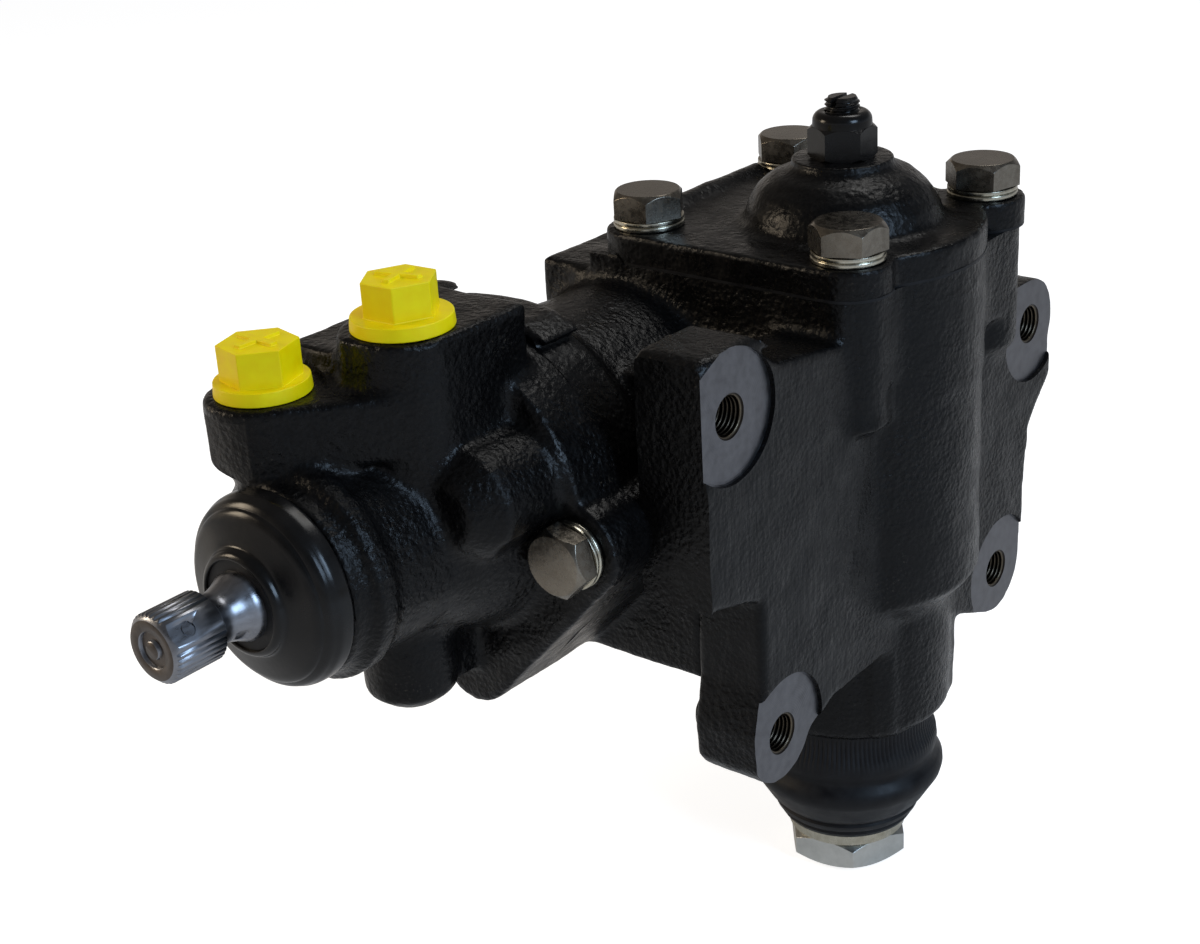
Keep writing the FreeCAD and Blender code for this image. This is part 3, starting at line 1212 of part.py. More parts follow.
def sector_shaft():
    """Output shaft with a three-tooth involute sector, journals, serrated taper and thread."""
    pitch, tip, root = rack_tooth_line()
    module = value("tooth_module")
    pressure = math.radians(value("pressure_angle"))
    base = pitch * math.cos(pressure)
    outer = pitch + 0.84 * module
    inner = tip - 0.5
    half_tooth = (math.pi * module / 2 - value("tooth_backlash")) / (2 * pitch)
    pitch_involute = math.tan(pressure) - pressure
    z_low = value("worm_height - gear_half_width")
    height = 2 * value("gear_half_width")
    flank = involute_flank(base, base + 0.01, outer, 7)

    def polar(radius, angle):
        return Vector(radius * math.cos(angle), radius * math.sin(angle), z_low)

    step = math.pi * module / pitch
    teeth = None
    for number in (-1, 0, 1):
        middle = math.pi + number * step
        left = [polar(r, middle - half_tooth - pitch_involute + a) for r, a in flank]
        right = [polar(r, middle + half_tooth + pitch_involute - a) for r, a in flank]
        curve_left, curve_right = Part.BSplineCurve(), Part.BSplineCurve()
        curve_left.interpolate(left)
        curve_right.interpolate(right)
        foot_left = polar(inner * 0.8, middle - half_tooth - pitch_involute)
        foot_right = polar(inner * 0.8, middle + half_tooth + pitch_involute)
        edges = [
            Part.LineSegment(foot_left, left[0]).toShape(),
            curve_left.toShape(),
            Part.Arc(left[-1], polar(outer, middle), right[-1]).toShape(),
            curve_right.toShape(),
            Part.LineSegment(right[0], foot_right).toShape(),
            Part.LineSegment(foot_right, foot_left).toShape(),
        ]
        wire = Part.Wire(Part.sortEdges(edges)[0])
        tooth = Part.Face(wire).extrude(Vector(0, 0, height))
        teeth = tooth if teeth is None else teeth.fuse(tooth)
    hub = Part.makeCylinder(inner, height, Vector(0, 0, z_low))
    body = turned("shaft_body", [
        ("0", "0"),
        ("shaft_thread_radius - 1.2", "0"),
        ("shaft_thread_radius", "1.2"),
        ("shaft_thread_radius", "taper_start - 1.5"),
        ("taper_small_radius - 1", "taper_start"),
        ("taper_small_radius", "taper_start + 1"),
        ("journal_radius - 0.6", "taper_end"),
        ("journal_radius", "taper_end + 2"),
        ("journal_radius", "worm_height - gear_half_width"),
        ("journal_radius + 3", "worm_height - gear_half_width"),
        ("journal_radius + 3", "worm_height + gear_half_width"),
        ("upper_journal_radius", "worm_height + gear_half_width"),
        ("upper_journal_radius", "shaft_top - 1"),
        ("upper_journal_radius - 1", "shaft_top"),
        ("screw_pocket_radius", "shaft_top"),
        ("screw_pocket_radius", "shaft_top - screw_pocket_depth"),
        ("0", "shaft_top - screw_pocket_depth"),
    ])
    doc.recompute()
    solid = body.Shape.fuse(hub).fuse(teeth)
    # Serrations of the taper that drives the pitman arm.
    count = 32
    for i in range(count):
        angle = math.tau * i / count
        radius_low = value("taper_small_radius") - 0.7
        radius_high = value("journal_radius") - 1.5
        low, high = value("taper_start + 1.2"), value("taper_end - 4")
        edges = []
        for radius, z in ((radius_low, low), (radius_high, high)):
            tri = []
            for reach, side in ((radius, 0.0), (radius + 3, -0.14), (radius + 3, 0.14)):
                tri.append(Vector(reach * math.cos(angle + side), reach * math.sin(angle + side), z))
            edges.append(Part.Wire(Part.makePolygon(tri + tri[:1])))
        solid = solid.cut(Part.makeLoft(edges, True, True))
    item = doc.addObject("Part::Feature", "sector_shaft")
    item.Shape = solid
    return finish_node(item, "sector_shaft")


def pitman_fasteners():
    bottom = "pitman_nut_bottom"
    crown = hexagon("pitman_hex", "pitman_nut_flats", "0", "0", bottom, "pitman_nut_height", "z", 8)
    bevel = turned("pitman_bevel", [
        ("0", bottom),
        ("pitman_nut_flats * 0.475", bottom),
        ("pitman_nut_flats * 0.475 + 4", bottom + " + 2.4"),
        ("pitman_nut_flats * 0.475 + 4", bottom + " + pitman_nut_height - 2.4"),
        ("pitman_nut_flats * 0.475", bottom + " + pitman_nut_height"),
        ("0", bottom + " + pitman_nut_height"),
    ])
    bore = rod("pitman_bore", "shaft_thread_radius + thread_gap", "0", "0", "-2", "40")
    finish_node(carve("pitman_nut", overlap("pitman_form", crown, bevel), [bore]), "pitman_nut")
    top = bottom + " + pitman_nut_height"
    finish_node(turned("lock_washer", [
        ("shaft_thread_radius + 0.3", top),
        ("lock_washer_radius", top),
        ("lock_washer_radius", top + " + lock_washer_thickness - 0.4"),
        ("shaft_thread_radius + 0.3", top + " + lock_washer_thickness - 0.4"),
    ]), "pitman_lock_washer")


def dust_boot():
    """Rubber boot: a ring gripping the output boss, a flange, a flared skirt and the lower lip."""
    top = "lower_boss_bottom - 0.2"
    body = turned("boot_body", [
        ("taper_small_radius + 1.2", "boot_bottom"),
        ("boot_lip_radius - 1.4", "boot_bottom"),
        ("boot_lip_radius", "boot_bottom + 1.4"),
        ("boot_lip_radius + 0.6", "boot_bottom + 3"),
        ("boot_skirt_radius - 1", "boot_bottom + 9"),
        ("boot_skirt_radius", "boot_bottom + 11"),
        ("boot_skirt_radius", "boot_bottom + 14.5"),
        ("boot_skirt_radius - 2.6", "boot_bottom + 18"),
        ("boot_radius - 2", "boot_bottom + 24"),
        ("boot_radius", "boot_bottom + 25.5"),
        ("boot_radius", "boot_bottom + 28.5"),
        ("boot_radius - 1.8", "boot_bottom + 30"),
        ("boot_radius - 1.8", top),
        ("journal_radius + 4", top),
        ("journal_radius + 4", top + " - 2"),
        ("boot_radius - 1.8 - boot_wall", top + " - 2"),
        ("boot_radius - 1.8 - boot_wall", "boot_bottom + 24"),
        ("boot_skirt_radius - 2.6 - boot_wall", "boot_bottom + 18"),
        ("boot_skirt_radius - 1 - boot_wall", "boot_bottom + 13"),
        ("journal_radius + 2", "boot_bottom + 5.6"),
        ("taper_small_radius + 1.2", "boot_bottom + 4"),
    ])
    return finish_node(body, "dust_boot")


def port_plugs():
    """Moulded travel plugs: threaded stem, round flange, hexagon and a cross rib."""
    kinds = [
        ("pressure", "high_port_x", "high_port_y", "high_port_top", "high_thread_radius",
         "high_plug_flange", 17.2, 4),
        ("return", "low_port_x", "low_port_y", "low_port_top", "low_thread_radius",
         "low_plug_flange", 17.8, -12),
    ]
    for label, x, y, top, thread, flange, flats, spin in kinds:
        base = top + " + 0.05"
        stem = rod(label + "_stem", thread, x, y, top + " - 9", "12")
        disc = taper(label + "_disc", flange, flange + " - 0.3", x, y, base, "plug_flange_height")
        crown = hexagon(label + "_hexagon", "%g" % flats, x, y, base, "plug_flange_height + plug_hex_height",
                        "z", spin)
        top_z = base + " + plug_flange_height + plug_hex_height"
        tools = [rod(label + "_hollow", thread + " - 1.8", x, y, top + " - 10", "17")]
        ribs = []
        for i, turn in enumerate((0, 90)):
            rib = block("%s_rib%d" % (label, i), x, y, top_z + " - 1", "2.2", "%g" % (flats * 0.72), "1.9")
            rotation = Rotation(Vector(0, 0, 1), spin + 10 + turn)
            shift = rotation.multVec(Vector(-1.1, -flats * 0.36, 0))
            rib.Placement = Placement(Vector(), rotation)
            bind(rib, "Placement.Base.x", "%s + %.5f" % (x, shift.x))
            bind(rib, "Placement.Base.y", "%s + %.5f" % (y, shift.y))
            bind(rib, "Placement.Base.z", top_z + " - 1")
            ribs.append(rib)
        body = join(label + "_plug_mass", [stem, disc, crown] + ribs)
        finish_node(carve(label + "_plug", body, tools), label + "_port_plug")


def housing_end():
    """Plug, seal and spring ring that close the rear of the piston bore."""
    start = "tube_rear - end_plug_depth - end_plug_thickness"
    body = on_worm("end_plug_body", [
        ("0", start),
        ("piston_bore_radius + 1.95", start),
        ("piston_bore_radius + 1.95", start + " + 3"),
        ("piston_bore_radius - 0.6", start + " + 3"),
        ("piston_bore_radius - 0.6", start + " + 6"),
        ("piston_bore_radius + 1.95", start + " + 6"),
        ("piston_bore_radius + 1.95", start + " + end_plug_thickness"),
        ("12", start + " + end_plug_thickness"),
        ("10", start + " + end_plug_thickness - 2"),
        ("0", start + " + end_plug_thickness - 2"),
    ])
    finish_node(body, "housing_end_plug")
    worm_ring("end_seal", "end_plug_seal", "piston_bore_radius - 0.5", "piston_bore_radius + 1.9",
              start + " + 3.2", "2.6")
    ring = on_worm("end_ring_body", [
        ("piston_bore_radius - 3.4", start + " + end_plug_thickness + 0.05"),
        ("piston_bore_radius + 1.9", start + " + end_plug_thickness + 0.05"),
        ("piston_bore_radius + 1.9", start + " + end_plug_thickness + 2.2"),
        ("piston_bore_radius - 3.4", start + " + end_plug_thickness + 2.2"),
    ])
    gap = block("end_ring_gap", "-shaft_offset - 5", "60", "worm_height", "10", "40", "60")
    finish_node(carve("end_ring", ring, [gap]), "end_plug_ring")
    worm_ring("race_nut", "worm_bearing_retainer", "worm_flange_radius + 1", "bearing_bore_radius - 0.05",
              "joint_plane - 0.9", "0.85")


gear_housing()
valve_housing()
sector_cover()
cover_gasket()
cover_fasteners()
valve_fasteners()
adjusting_screw()
front_cap()
seals_and_rings()
bearings()
housing_end()
port_plugs()
dust_boot()
sector_shaft()
pitman_fasteners()
rack_piston()
piston_small_parts()
balls_and_guide()
guide_clamp()
worm_shaft()
valve_sleeve()
torsion_bar()
input_shaft()
doc.recompute()

for item in doc.Objects:
    if "Invalid" in item.State or "Error" in item.State:
        raise RuntimeError("%s failed to build" % item.Label)
os.makedirs("parts", exist_ok=True)
for item in nodes:
    if item.Shape.isNull() or not item.Shape.isValid():
        raise RuntimeError("%s has no valid shape" % item.Label)
    item.Shape.exportStep("parts/%s.step" % item.Label)
    print(item.Label, len(item.Shape.Solids), round(item.Shape.Volume, 1))
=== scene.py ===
import bpy
import bmesh
import math
import numpy as np
from mathutils import Matrix, Vector, noise


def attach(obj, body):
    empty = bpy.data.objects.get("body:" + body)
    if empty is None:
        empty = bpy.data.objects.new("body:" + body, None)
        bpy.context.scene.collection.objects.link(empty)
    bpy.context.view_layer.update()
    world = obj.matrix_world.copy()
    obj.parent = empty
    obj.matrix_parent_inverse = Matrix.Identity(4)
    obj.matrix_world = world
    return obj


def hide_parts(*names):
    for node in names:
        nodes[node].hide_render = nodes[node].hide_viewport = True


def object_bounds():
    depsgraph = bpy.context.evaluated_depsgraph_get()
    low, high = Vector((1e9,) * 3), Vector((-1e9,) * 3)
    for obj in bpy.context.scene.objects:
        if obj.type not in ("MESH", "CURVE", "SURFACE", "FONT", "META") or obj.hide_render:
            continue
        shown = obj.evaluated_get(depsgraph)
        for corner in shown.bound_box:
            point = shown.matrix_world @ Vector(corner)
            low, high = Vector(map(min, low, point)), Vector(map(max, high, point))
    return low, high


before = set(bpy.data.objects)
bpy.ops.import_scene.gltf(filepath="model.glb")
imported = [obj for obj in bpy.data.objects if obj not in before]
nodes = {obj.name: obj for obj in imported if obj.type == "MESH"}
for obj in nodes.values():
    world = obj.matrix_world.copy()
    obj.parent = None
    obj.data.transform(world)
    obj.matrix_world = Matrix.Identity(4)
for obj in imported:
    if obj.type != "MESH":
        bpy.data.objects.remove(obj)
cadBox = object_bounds()
mm = 0.001
wormX, wormZ = -46.0, 159.0  # worm axis, parallel to Y
print("frame loaded:", len(nodes), "nodes")


# materials
def newMaterial(name, look):
    material = bpy.data.materials.new(name)
    material.use_nodes = True
    tree = material.node_tree
    tree.nodes.clear()
    out = tree.nodes.new("ShaderNodeOutputMaterial")
    shader = tree.nodes.new("ShaderNodeBsdfPrincipled")
    tree.links.new(shader.outputs[0], out.inputs[0])
    for socket, number in look.items():
        shader.inputs[socket].default_value = number
    return material, tree, shader


def coordinates(tree, stretch=(1, 1, 1)):
    where = tree.nodes.new("ShaderNodeTexCoord")
    mapping = tree.nodes.new("ShaderNodeMapping")
    mapping.inputs["Scale"].default_value = stretch
    tree.links.new(where.outputs["Object"], mapping.inputs["Vector"])
    return mapping.outputs[0]


def noiseField(tree, where, scale, detail=3.0, rough=0.55):
    field = tree.nodes.new("ShaderNodeTexNoise")
    field.inputs["Scale"].default_value = scale
    field.inputs["Detail"].default_value = detail
    field.inputs["Roughness"].default_value = rough
    tree.links.new(where, field.inputs["Vector"])
    return field.outputs["Fac"]


def spread(tree, source, low, high, fromLow=0.3, fromHigh=0.7):
    ramp = tree.nodes.new("ShaderNodeMapRange")
    ramp.inputs["From Min"].default_value = fromLow
    ramp.inputs["From Max"].default_value = fromHigh
    ramp.inputs["To Min"].default_value = low
    ramp.inputs["To Max"].default_value = high
    tree.links.new(source, ramp.inputs["Value"])
    return ramp.outputs[0]


def tint(tree, source, stops):
    ramp = tree.nodes.new("ShaderNodeValToRGB")
    ramp.color_ramp.elements[0].position = stops[0][0]
    ramp.color_ramp.elements[0].color = (*stops[0][1], 1)
    ramp.color_ramp.elements[1].position = stops[1][0]
    ramp.color_ramp.elements[1].color = (*stops[1][1], 1)
    for place, colour in stops[2:]:
        extra = ramp.color_ramp.elements.new(place)
        extra.color = (*colour, 1)
    tree.links.new(source, ramp.inputs[0])
    return ramp.outputs[0]


def math2(tree, kind, a, b):
    node = tree.nodes.new("ShaderNodeMath")
    node.operation = kind
    for socket, item in zip(node.inputs, (a, b)):
        if isinstance(item, (int, float)):
            socket.default_value = item
        else:
            tree.links.new(item, socket)
    return node.outputs[0]


def relief(tree, shader, height, distance, strength, below=None):
    bump = tree.nodes.new("ShaderNodeBump")
    bump.inputs["Distance"].default_value = distance
    bump.inputs["Strength"].default_value = strength
    tree.links.new(height, bump.inputs["Height"])
    if below is not None:
        tree.links.new(below, bump.inputs["Normal"])
    tree.links.new(bump.outputs[0], shader.inputs["Normal"])
    return bump.outputs[0]


# black gloss paint over sand casting: fine grain, pits and soft unevenness, with warm specks painted into the
# colour as glints
castLook = {
    "grainScale": 1150, "pitScale": 620, "waveScale": 120, "dark": (0.0012, 0.0012, 0.0014),
    "pale": (0.0055, 0.0050, 0.0048), "gloss": (0.19, 0.38), "paintedGlint": (0.050, 0.040, 0.029),
}


def castPaint(name, grain=1.0, streaks=0.0, look=castLook):
    material, tree, shader = newMaterial(name, {"Specular IOR Level": 0.16})
    where = coordinates(tree)
    fine = noiseField(tree, where, look["grainScale"], 3.0, 0.6)
    pits = tree.nodes.new("ShaderNodeTexVoronoi")
    pits.feature = "SMOOTH_F1"
    pits.inputs["Scale"].default_value = look["pitScale"]
    pits.inputs["Smoothness"].default_value = 0.6
    tree.links.new(where, pits.inputs["Vector"])
    wave = noiseField(tree, where, look["waveScale"], 3.0, 0.5)
    patch = spread(tree, noiseField(tree, where, 38, 2.0), 0.3, 1.15)
    height = math2(tree, "ADD", math2(tree, "MULTIPLY", fine, 0.55),
                   math2(tree, "MULTIPLY", pits.outputs["Distance"], 0.6))
    height = math2(tree, "MULTIPLY", height, patch)
    height = math2(tree, "ADD", height, math2(tree, "MULTIPLY", wave, 0.4))
    if streaks:
        lines = noiseField(tree, coordinates(tree, (1, 1, 0.06)), 520, 3.0, 0.6)
        height = math2(tree, "ADD", height, math2(tree, "MULTIPLY", lines, streaks))
    relief(tree, shader, height, 0.00062 * grain, 0.9)
    # warm specks on the grain's peaks, mixed into the base colour: painted glints
    paintedGlints = math2(tree, "MULTIPLY", spread(tree, fine, 0.0, 1.0, 0.62, 0.74),
                 spread(tree, noiseField(tree, where, 55, 3.0), 0.0, 1.0, 0.56, 0.68))
    blend = tree.nodes.new("ShaderNodeMix")
    blend.data_type = "RGBA"
    blend.inputs[7].default_value = (*look["paintedGlint"], 1)
    tree.links.new(paintedGlints, blend.inputs[0])
    tree.links.new(tint(tree, fine, [(0.35, look["dark"]), (0.72, look["pale"])]), blend.inputs[6])
    tree.links.new(blend.outputs[2], shader.inputs["Base Color"])
    tree.links.new(spread(tree, noiseField(tree, where, 170, 3.0), *look["gloss"]),
                   shader.inputs["Roughness"])
    return material


def smoothPaint(name):
    material, tree, shader = newMaterial(name, {"Specular IOR Level": 0.25})
    where = coordinates(tree)
    wave = noiseField(tree, where, 160, 3.0)
    relief(tree, shader, wave, 0.00012, 0.6)
    tree.links.new(tint(tree, wave, [(0.3, (0.0035, 0.0032, 0.0030)), (0.7, (0.009, 0.008, 0.0075))]),
                   shader.inputs["Base Color"])
    tree.links.new(spread(tree, wave, 0.16, 0.28), shader.inputs["Roughness"])
    return material


def platedSteel(name, dark, pale, gloss, grain=0.00004, scale=420, stretch=(1, 1, 1)):
    material, tree, shader = newMaterial(name, {"Metallic": 1.0})
    where = coordinates(tree, stretch)
    cloud = noiseField(tree, where, scale, 4.0, 0.6)
    broad = noiseField(tree, where, scale * 0.16, 2.0)
    relief(tree, shader, cloud, grain, 0.7)
    mixed = math2(tree, "ADD", math2(tree, "MULTIPLY", cloud, 0.6), math2(tree, "MULTIPLY", broad, 0.4))
    tree.links.new(tint(tree, mixed, [(0.28, dark), (0.72, pale)]), shader.inputs["Base Color"])
    tree.links.new(spread(tree, cloud, *gloss), shader.inputs["Roughness"])
    return material


def turnedSteel(name, centre, dark, pale, gloss):
    # fine concentric tool marks round a pad's centre, in the YZ plane
    material, tree, shader = newMaterial(name, {"Metallic": 1.0})
    where = tree.nodes.new("ShaderNodeTexCoord")
    shift = tree.nodes.new("ShaderNodeVectorMath")
    shift.operation = "SUBTRACT"
    shift.inputs[1].default_value = centre
    tree.links.new(where.outputs["Object"], shift.inputs[0])
    flatten = tree.nodes.new("ShaderNodeVectorMath")
    flatten.operation = "MULTIPLY"
    flatten.inputs[1].default_value = (0, 1, 1)
    tree.links.new(shift.outputs[0], flatten.inputs[0])
    reach = tree.nodes.new("ShaderNodeVectorMath")
    reach.operation = "LENGTH"
    tree.links.new(flatten.outputs[0], reach.inputs[0])
    rings = tree.nodes.new("ShaderNodeMath")
    rings.operation = "SINE"
    tree.links.new(math2(tree, "MULTIPLY", reach.outputs["Value"], 9500.0), rings.inputs[0])
    cloud = noiseField(tree, coordinates(tree), 300, 3.0)
    height = math2(tree, "ADD", math2(tree, "MULTIPLY", rings.outputs[0], 0.3), cloud)
    relief(tree, shader, height, 0.00004, 0.5)
    tree.links.new(tint(tree, cloud, [(0.3, dark), (0.7, pale)]), shader.inputs["Base Color"])
    tree.links.new(spread(tree, cloud, *gloss), shader.inputs["Roughness"])
    return material


def tappedSteel(name, pitch):
    # dark threads round a hole that runs along X; the colour follows the thread, with painted shade in its roots
    material, tree, shader = newMaterial(name, {"Metallic": 1.0})
    where = tree.nodes.new("ShaderNodeTexCoord")
    split = tree.nodes.new("ShaderNodeSeparateXYZ")
    tree.links.new(where.outputs["Object"], split.inputs[0])
    wave = tree.nodes.new("ShaderNodeMath")
    wave.operation = "SINE"
    tree.links.new(math2(tree, "MULTIPLY", split.outputs["X"], math.tau / (pitch * mm)), wave.inputs[0])
    cloud = noiseField(tree, coordinates(tree), 500, 3.0)
    relief(tree, shader, math2(tree, "ADD", wave.outputs[0], math2(tree, "MULTIPLY", cloud, 0.3)), 0.00026, 0.9)
    # painted shade: the colour is darkest where the thread is low
    tree.links.new(tint(tree, wave.outputs[0], [(0.0, (0.016, 0.013, 0.010)), (0.95, (0.12, 0.098, 0.07))]),
                   shader.inputs["Base Color"])
    tree.links.new(spread(tree, cloud, 0.25, 0.45), shader.inputs["Roughness"])
    return material


def mouldedPlastic(name, dark, pale, gloss, grain=0.00005):
    material, tree, shader = newMaterial(name, {"Specular IOR Level": 0.22, "Subsurface Weight": 0.08,
                                                "Subsurface Scale": 0.002})
    where = coordinates(tree)
    cloud = noiseField(tree, where, 240, 3.0)
    relief(tree, shader, noiseField(tree, where, 900, 3.0), grain, 0.6)
    tree.links.new(tint(tree, cloud, [(0.3, dark), (0.7, pale)]), shader.inputs["Base Color"])
    tree.links.new(spread(tree, cloud, *gloss), shader.inputs["Roughness"])
    return material


def blackRubber(name):
    material, tree, shader = newMaterial(name, {"Specular IOR Level": 0.18})
    where = coordinates(tree)
    cloud = noiseField(tree, where, 180, 4.0)
    relief(tree, shader, noiseField(tree, where, 1100, 3.0), 0.00006, 0.6)
    tree.links.new(tint(tree, cloud, [(0.3, (0.004, 0.004, 0.005)), (0.75, (0.014, 0.014, 0.015))]),
                   shader.inputs["Base Color"])
    tree.links.new(spread(tree, cloud, 0.38, 0.58), shader.inputs["Roughness"])
    return material


roughPaint = castPaint("roughCastPaint", 1.0)
platePaint = castPaint("brushedPlatePaint", 0.55, 0.5)
coverPaint = castPaint("coverCastPaint", 0.62)
valvePaint = castPaint("valveCastPaint", 0.9)
glossPaint = smoothPaint("smoothBlackPaint")
zinc = platedSteel("zincPlate", (0.12, 0.103, 0.083), (0.25, 0.227, 0.19), (0.2, 0.34), 0.00003, 520)
zincWasher = platedSteel("zincWasherPlate", (0.30, 0.275, 0.21), (0.54, 0.51, 0.42), (0.18, 0.32))
nutZinc = platedSteel("nutZincPlate", (0.44, 0.44, 0.41), (0.62, 0.62, 0.59), (0.3, 0.45), 0.00009, 300)
bareSteel = platedSteel("bareShaftSteel", (0.13, 0.135, 0.15), (0.31, 0.32, 0.35), (0.24, 0.42), 0.00006,
                        380, (1, 0.25, 1))
threadSteel = tappedSteel("tappedSteel", 1.3)
innerSteel = platedSteel("groundSteel", (0.38, 0.38, 0.38), (0.56, 0.56, 0.56), (0.2, 0.35))
ballSteel = platedSteel("polishedBallSteel", (0.62, 0.62, 0.63), (0.76, 0.76, 0.77), (0.08, 0.16), 0.00002)
# the shaft's end face: the shaft's own steel painted darker and warmer, as painted shade
shadedEndSteel = platedSteel("shaftEndShadedSteel", (0.05, 0.042, 0.036), (0.13, 0.112, 0.1), (0.3, 0.46), 0.00008)
yellowPlastic = mouldedPlastic("yellowPlugPlastic", (0.97, 0.73, 0.0), (1.0, 0.81, 0.002), (0.36, 0.5))
ringPlastic = mouldedPlastic("sealRingPlastic", (0.55, 0.50, 0.38), (0.72, 0.68, 0.55), (0.4, 0.55))
fibre = blackRubber("paintedGasketFibre")
rubber = blackRubber("bootRubber")
print("materials made")


# mesh helpers, in millimetres until the mesh is made
def meshFrom(name, points, faces):
    mesh = bpy.data.meshes.new(name)
    mesh.from_pydata([Vector(p) * mm for p in points], [], faces)
    mesh.update()
    return mesh


def asObject(name, mesh):
    item = bpy.data.objects.new(name, mesh)
    bpy.context.scene.collection.objects.link(item)
    return item


def rodMesh(name, centre, axis, start, end, radius, sides=96, endRadius=None):
    # closed cylinder or cone along x, y or z; centre gives the other two coordinates
    endRadius = radius if endRadius is None else endRadius
    order = {"x": (1, 2, 0), "y": (2, 0, 1), "z": (0, 1, 2)}[axis]
    points = []
    for along, size in ((start, radius), (end, endRadius)):
        for i in range(sides):
            turn = math.tau * i / sides
            flat = (centre[0] + size * math.cos(turn), centre[1] + size * math.sin(turn))
            spot = [0, 0, 0]
            spot[order[0]], spot[order[1]], spot[order[2]] = flat[0], flat[1], along
            points.append(spot)
    faces = [[i, (i + 1) % sides, sides + (i + 1) % sides, sides + i] for i in range(sides)]
    faces += [list(range(sides))[::-1], list(range(sides, 2 * sides))]
    return meshFrom(name, points, faces)


def rounded(corners, reach, steps=4):
    # closed profile with every corner rounded by a short curve
    points = []
    count = len(corners)
    for i, corner in enumerate(corners):
        spot = Vector(corner)
        before, after = Vector(corners[i - 1]) - spot, Vector(corners[(i + 1) % count]) - spot
        start = spot + before.normalized() * min(reach, before.length * 0.48)
        end = spot + after.normalized() * min(reach, after.length * 0.48)
        for k in range(steps + 1):
            t = k / steps
            points.append(tuple((1 - t) ** 2 * start + 2 * t * (1 - t) * spot + t * t * end))
    return points


def lathe(name, profile, centre, axis="z", sides=160, ripple=None):
    # closed profile of radius and place along the axis, revolved; ripple varies the radius
    order = {"x": (1, 2, 0), "y": (2, 0, 1), "z": (0, 1, 2)}[axis]
    points = []
    for radius, along in profile:
        for i in range(sides):
            turn = math.tau * i / sides
            size = radius + (ripple(radius, along, turn) if ripple else 0.0)
            spot = [0, 0, 0]
            spot[order[0]] = centre[0] + size * math.cos(turn)
            spot[order[1]] = centre[1] + size * math.sin(turn)
            spot[order[2]] = along
            points.append(spot)
    count = len(profile)
    faces = []
    for k in range(count):
        row, after = k * sides, (k + 1) % count * sides
        faces += [(row + i, row + (i + 1) % sides, after + (i + 1) % sides, after + i) for i in range(sides)]
    return tidy(meshFrom(name, points, faces))


def tidy(mesh, reach=1e-7):
    # merge doubled points and turn every face outwards
    shape = bmesh.new()
    shape.from_mesh(mesh)
    bmesh.ops.remove_doubles(shape, verts=shape.verts, dist=reach)
    bmesh.ops.recalc_face_normals(shape, faces=shape.faces)
    shape.to_mesh(mesh)
    shape.free()
    return mesh


def boxMesh(name, low, high):
    xs, ys, zs = zip(low, high)
    points = [(x, y, z) for x in xs for y in ys for z in zs]
    faces = [(0, 1, 3, 2), (4, 6, 7, 5), (0, 4, 5, 1), (2, 3, 7, 6), (0, 2, 6, 4), (1, 5, 7, 3)]
    return meshFrom(name, points, faces)


def weldedCopy(node, name):
    item = asObject(name, nodes[node].data.copy())
    item.data.materials.clear()
    tidy(item.data, 1e-6)
    return item


def applyModifiers(item):
    graph = bpy.context.evaluated_depsgraph_get()
    result = bpy.data.meshes.new_from_object(item.evaluated_get(graph))
    old = item.data
    item.modifiers.clear()
    item.data = result
    if old.users == 0:
        bpy.data.meshes.remove(old)
    return item


def drop(item):
    mesh = item.data
    bpy.data.objects.remove(item)
    if mesh.users == 0:
        bpy.data.meshes.remove(mesh)


def combine(item, other, kind, solver="MANIFOLD"):
    step = item.modifiers.new("step", "BOOLEAN")
    step.operation = kind
    step.solver = solver
    step.object = other
    bpy.context.view_layer.update()
    return applyModifiers(item)


def unionAll(name, meshes):
    whole = asObject(name, meshes[0])
    for mesh in meshes[1:]:
        part = asObject("part", mesh)
        combine(whole, part, "UNION")
        drop(part)
    return whole


def slabOf(item, low, high, shift):
    # the part of a mesh inside a box, moved by a shift
    piece = asObject("slab", item.data.copy())
    window = asObject("window", boxMesh("window", low, high))
    combine(piece, window, "INTERSECT")
    drop(window)
    piece.data.transform(Matrix.Translation(Vector(shift) * mm))
    return piece


def addTo(item, mesh):
    shape = bmesh.new()
    shape.from_mesh(item.data)
    shape.from_mesh(mesh)
    shape.to_mesh(item.data)
    shape.free()


def neighbourMean(points, links, counts):
    total = np.empty_like(points)
    a, b = links
    for k in range(3):
        total[:, k] = (np.bincount(a, points[b, k], len(points)) + np.bincount(b, points[a, k], len(points)))
    return total / counts[:, None]


def pointTable(mesh):
    points = np.empty(len(mesh.vertices) * 3)
    mesh.vertices.foreach_get("co", points)
    return points.reshape(-1, 3)


def storePoints(mesh, points):
    mesh.vertices.foreach_set("co", points.ravel())
    mesh.update()


def vertexNormals(mesh):
    normals = np.empty(len(mesh.vertices) * 3)
    mesh.vertex_normals.foreach_get("vector", normals)
    return normals.reshape(-1, 3)


def relax(item, fillPasses, roundPasses, step=0.5):
    # first only outward moves, which fill the inner corners, then a free rounding
    mesh = item.data
    points = pointTable(mesh)
    pairs = np.empty(len(mesh.edges) * 2, int)
    mesh.edges.foreach_get("vertices", pairs)
    links = pairs.reshape(-1, 2).T
    counts = np.bincount(links.ravel(), minlength=len(points)).astype(float)
    for i in range(4):
        points += step * (neighbourMean(points, links, counts) - points)
    storePoints(mesh, points)
    normals = vertexNormals(mesh)
    for i in range(fillPasses):
        if i % 8 == 7:
            storePoints(mesh, points)
            normals = vertexNormals(mesh)
        move = neighbourMean(points, links, counts) - points
        along = np.einsum("ij,ij->i", move, normals)
        move -= np.minimum(along, 0.0)[:, None] * normals
        points += step * move
    for i in range(roundPasses):
        points += step * (neighbourMean(points, links, counts) - points)
    storePoints(mesh, points)


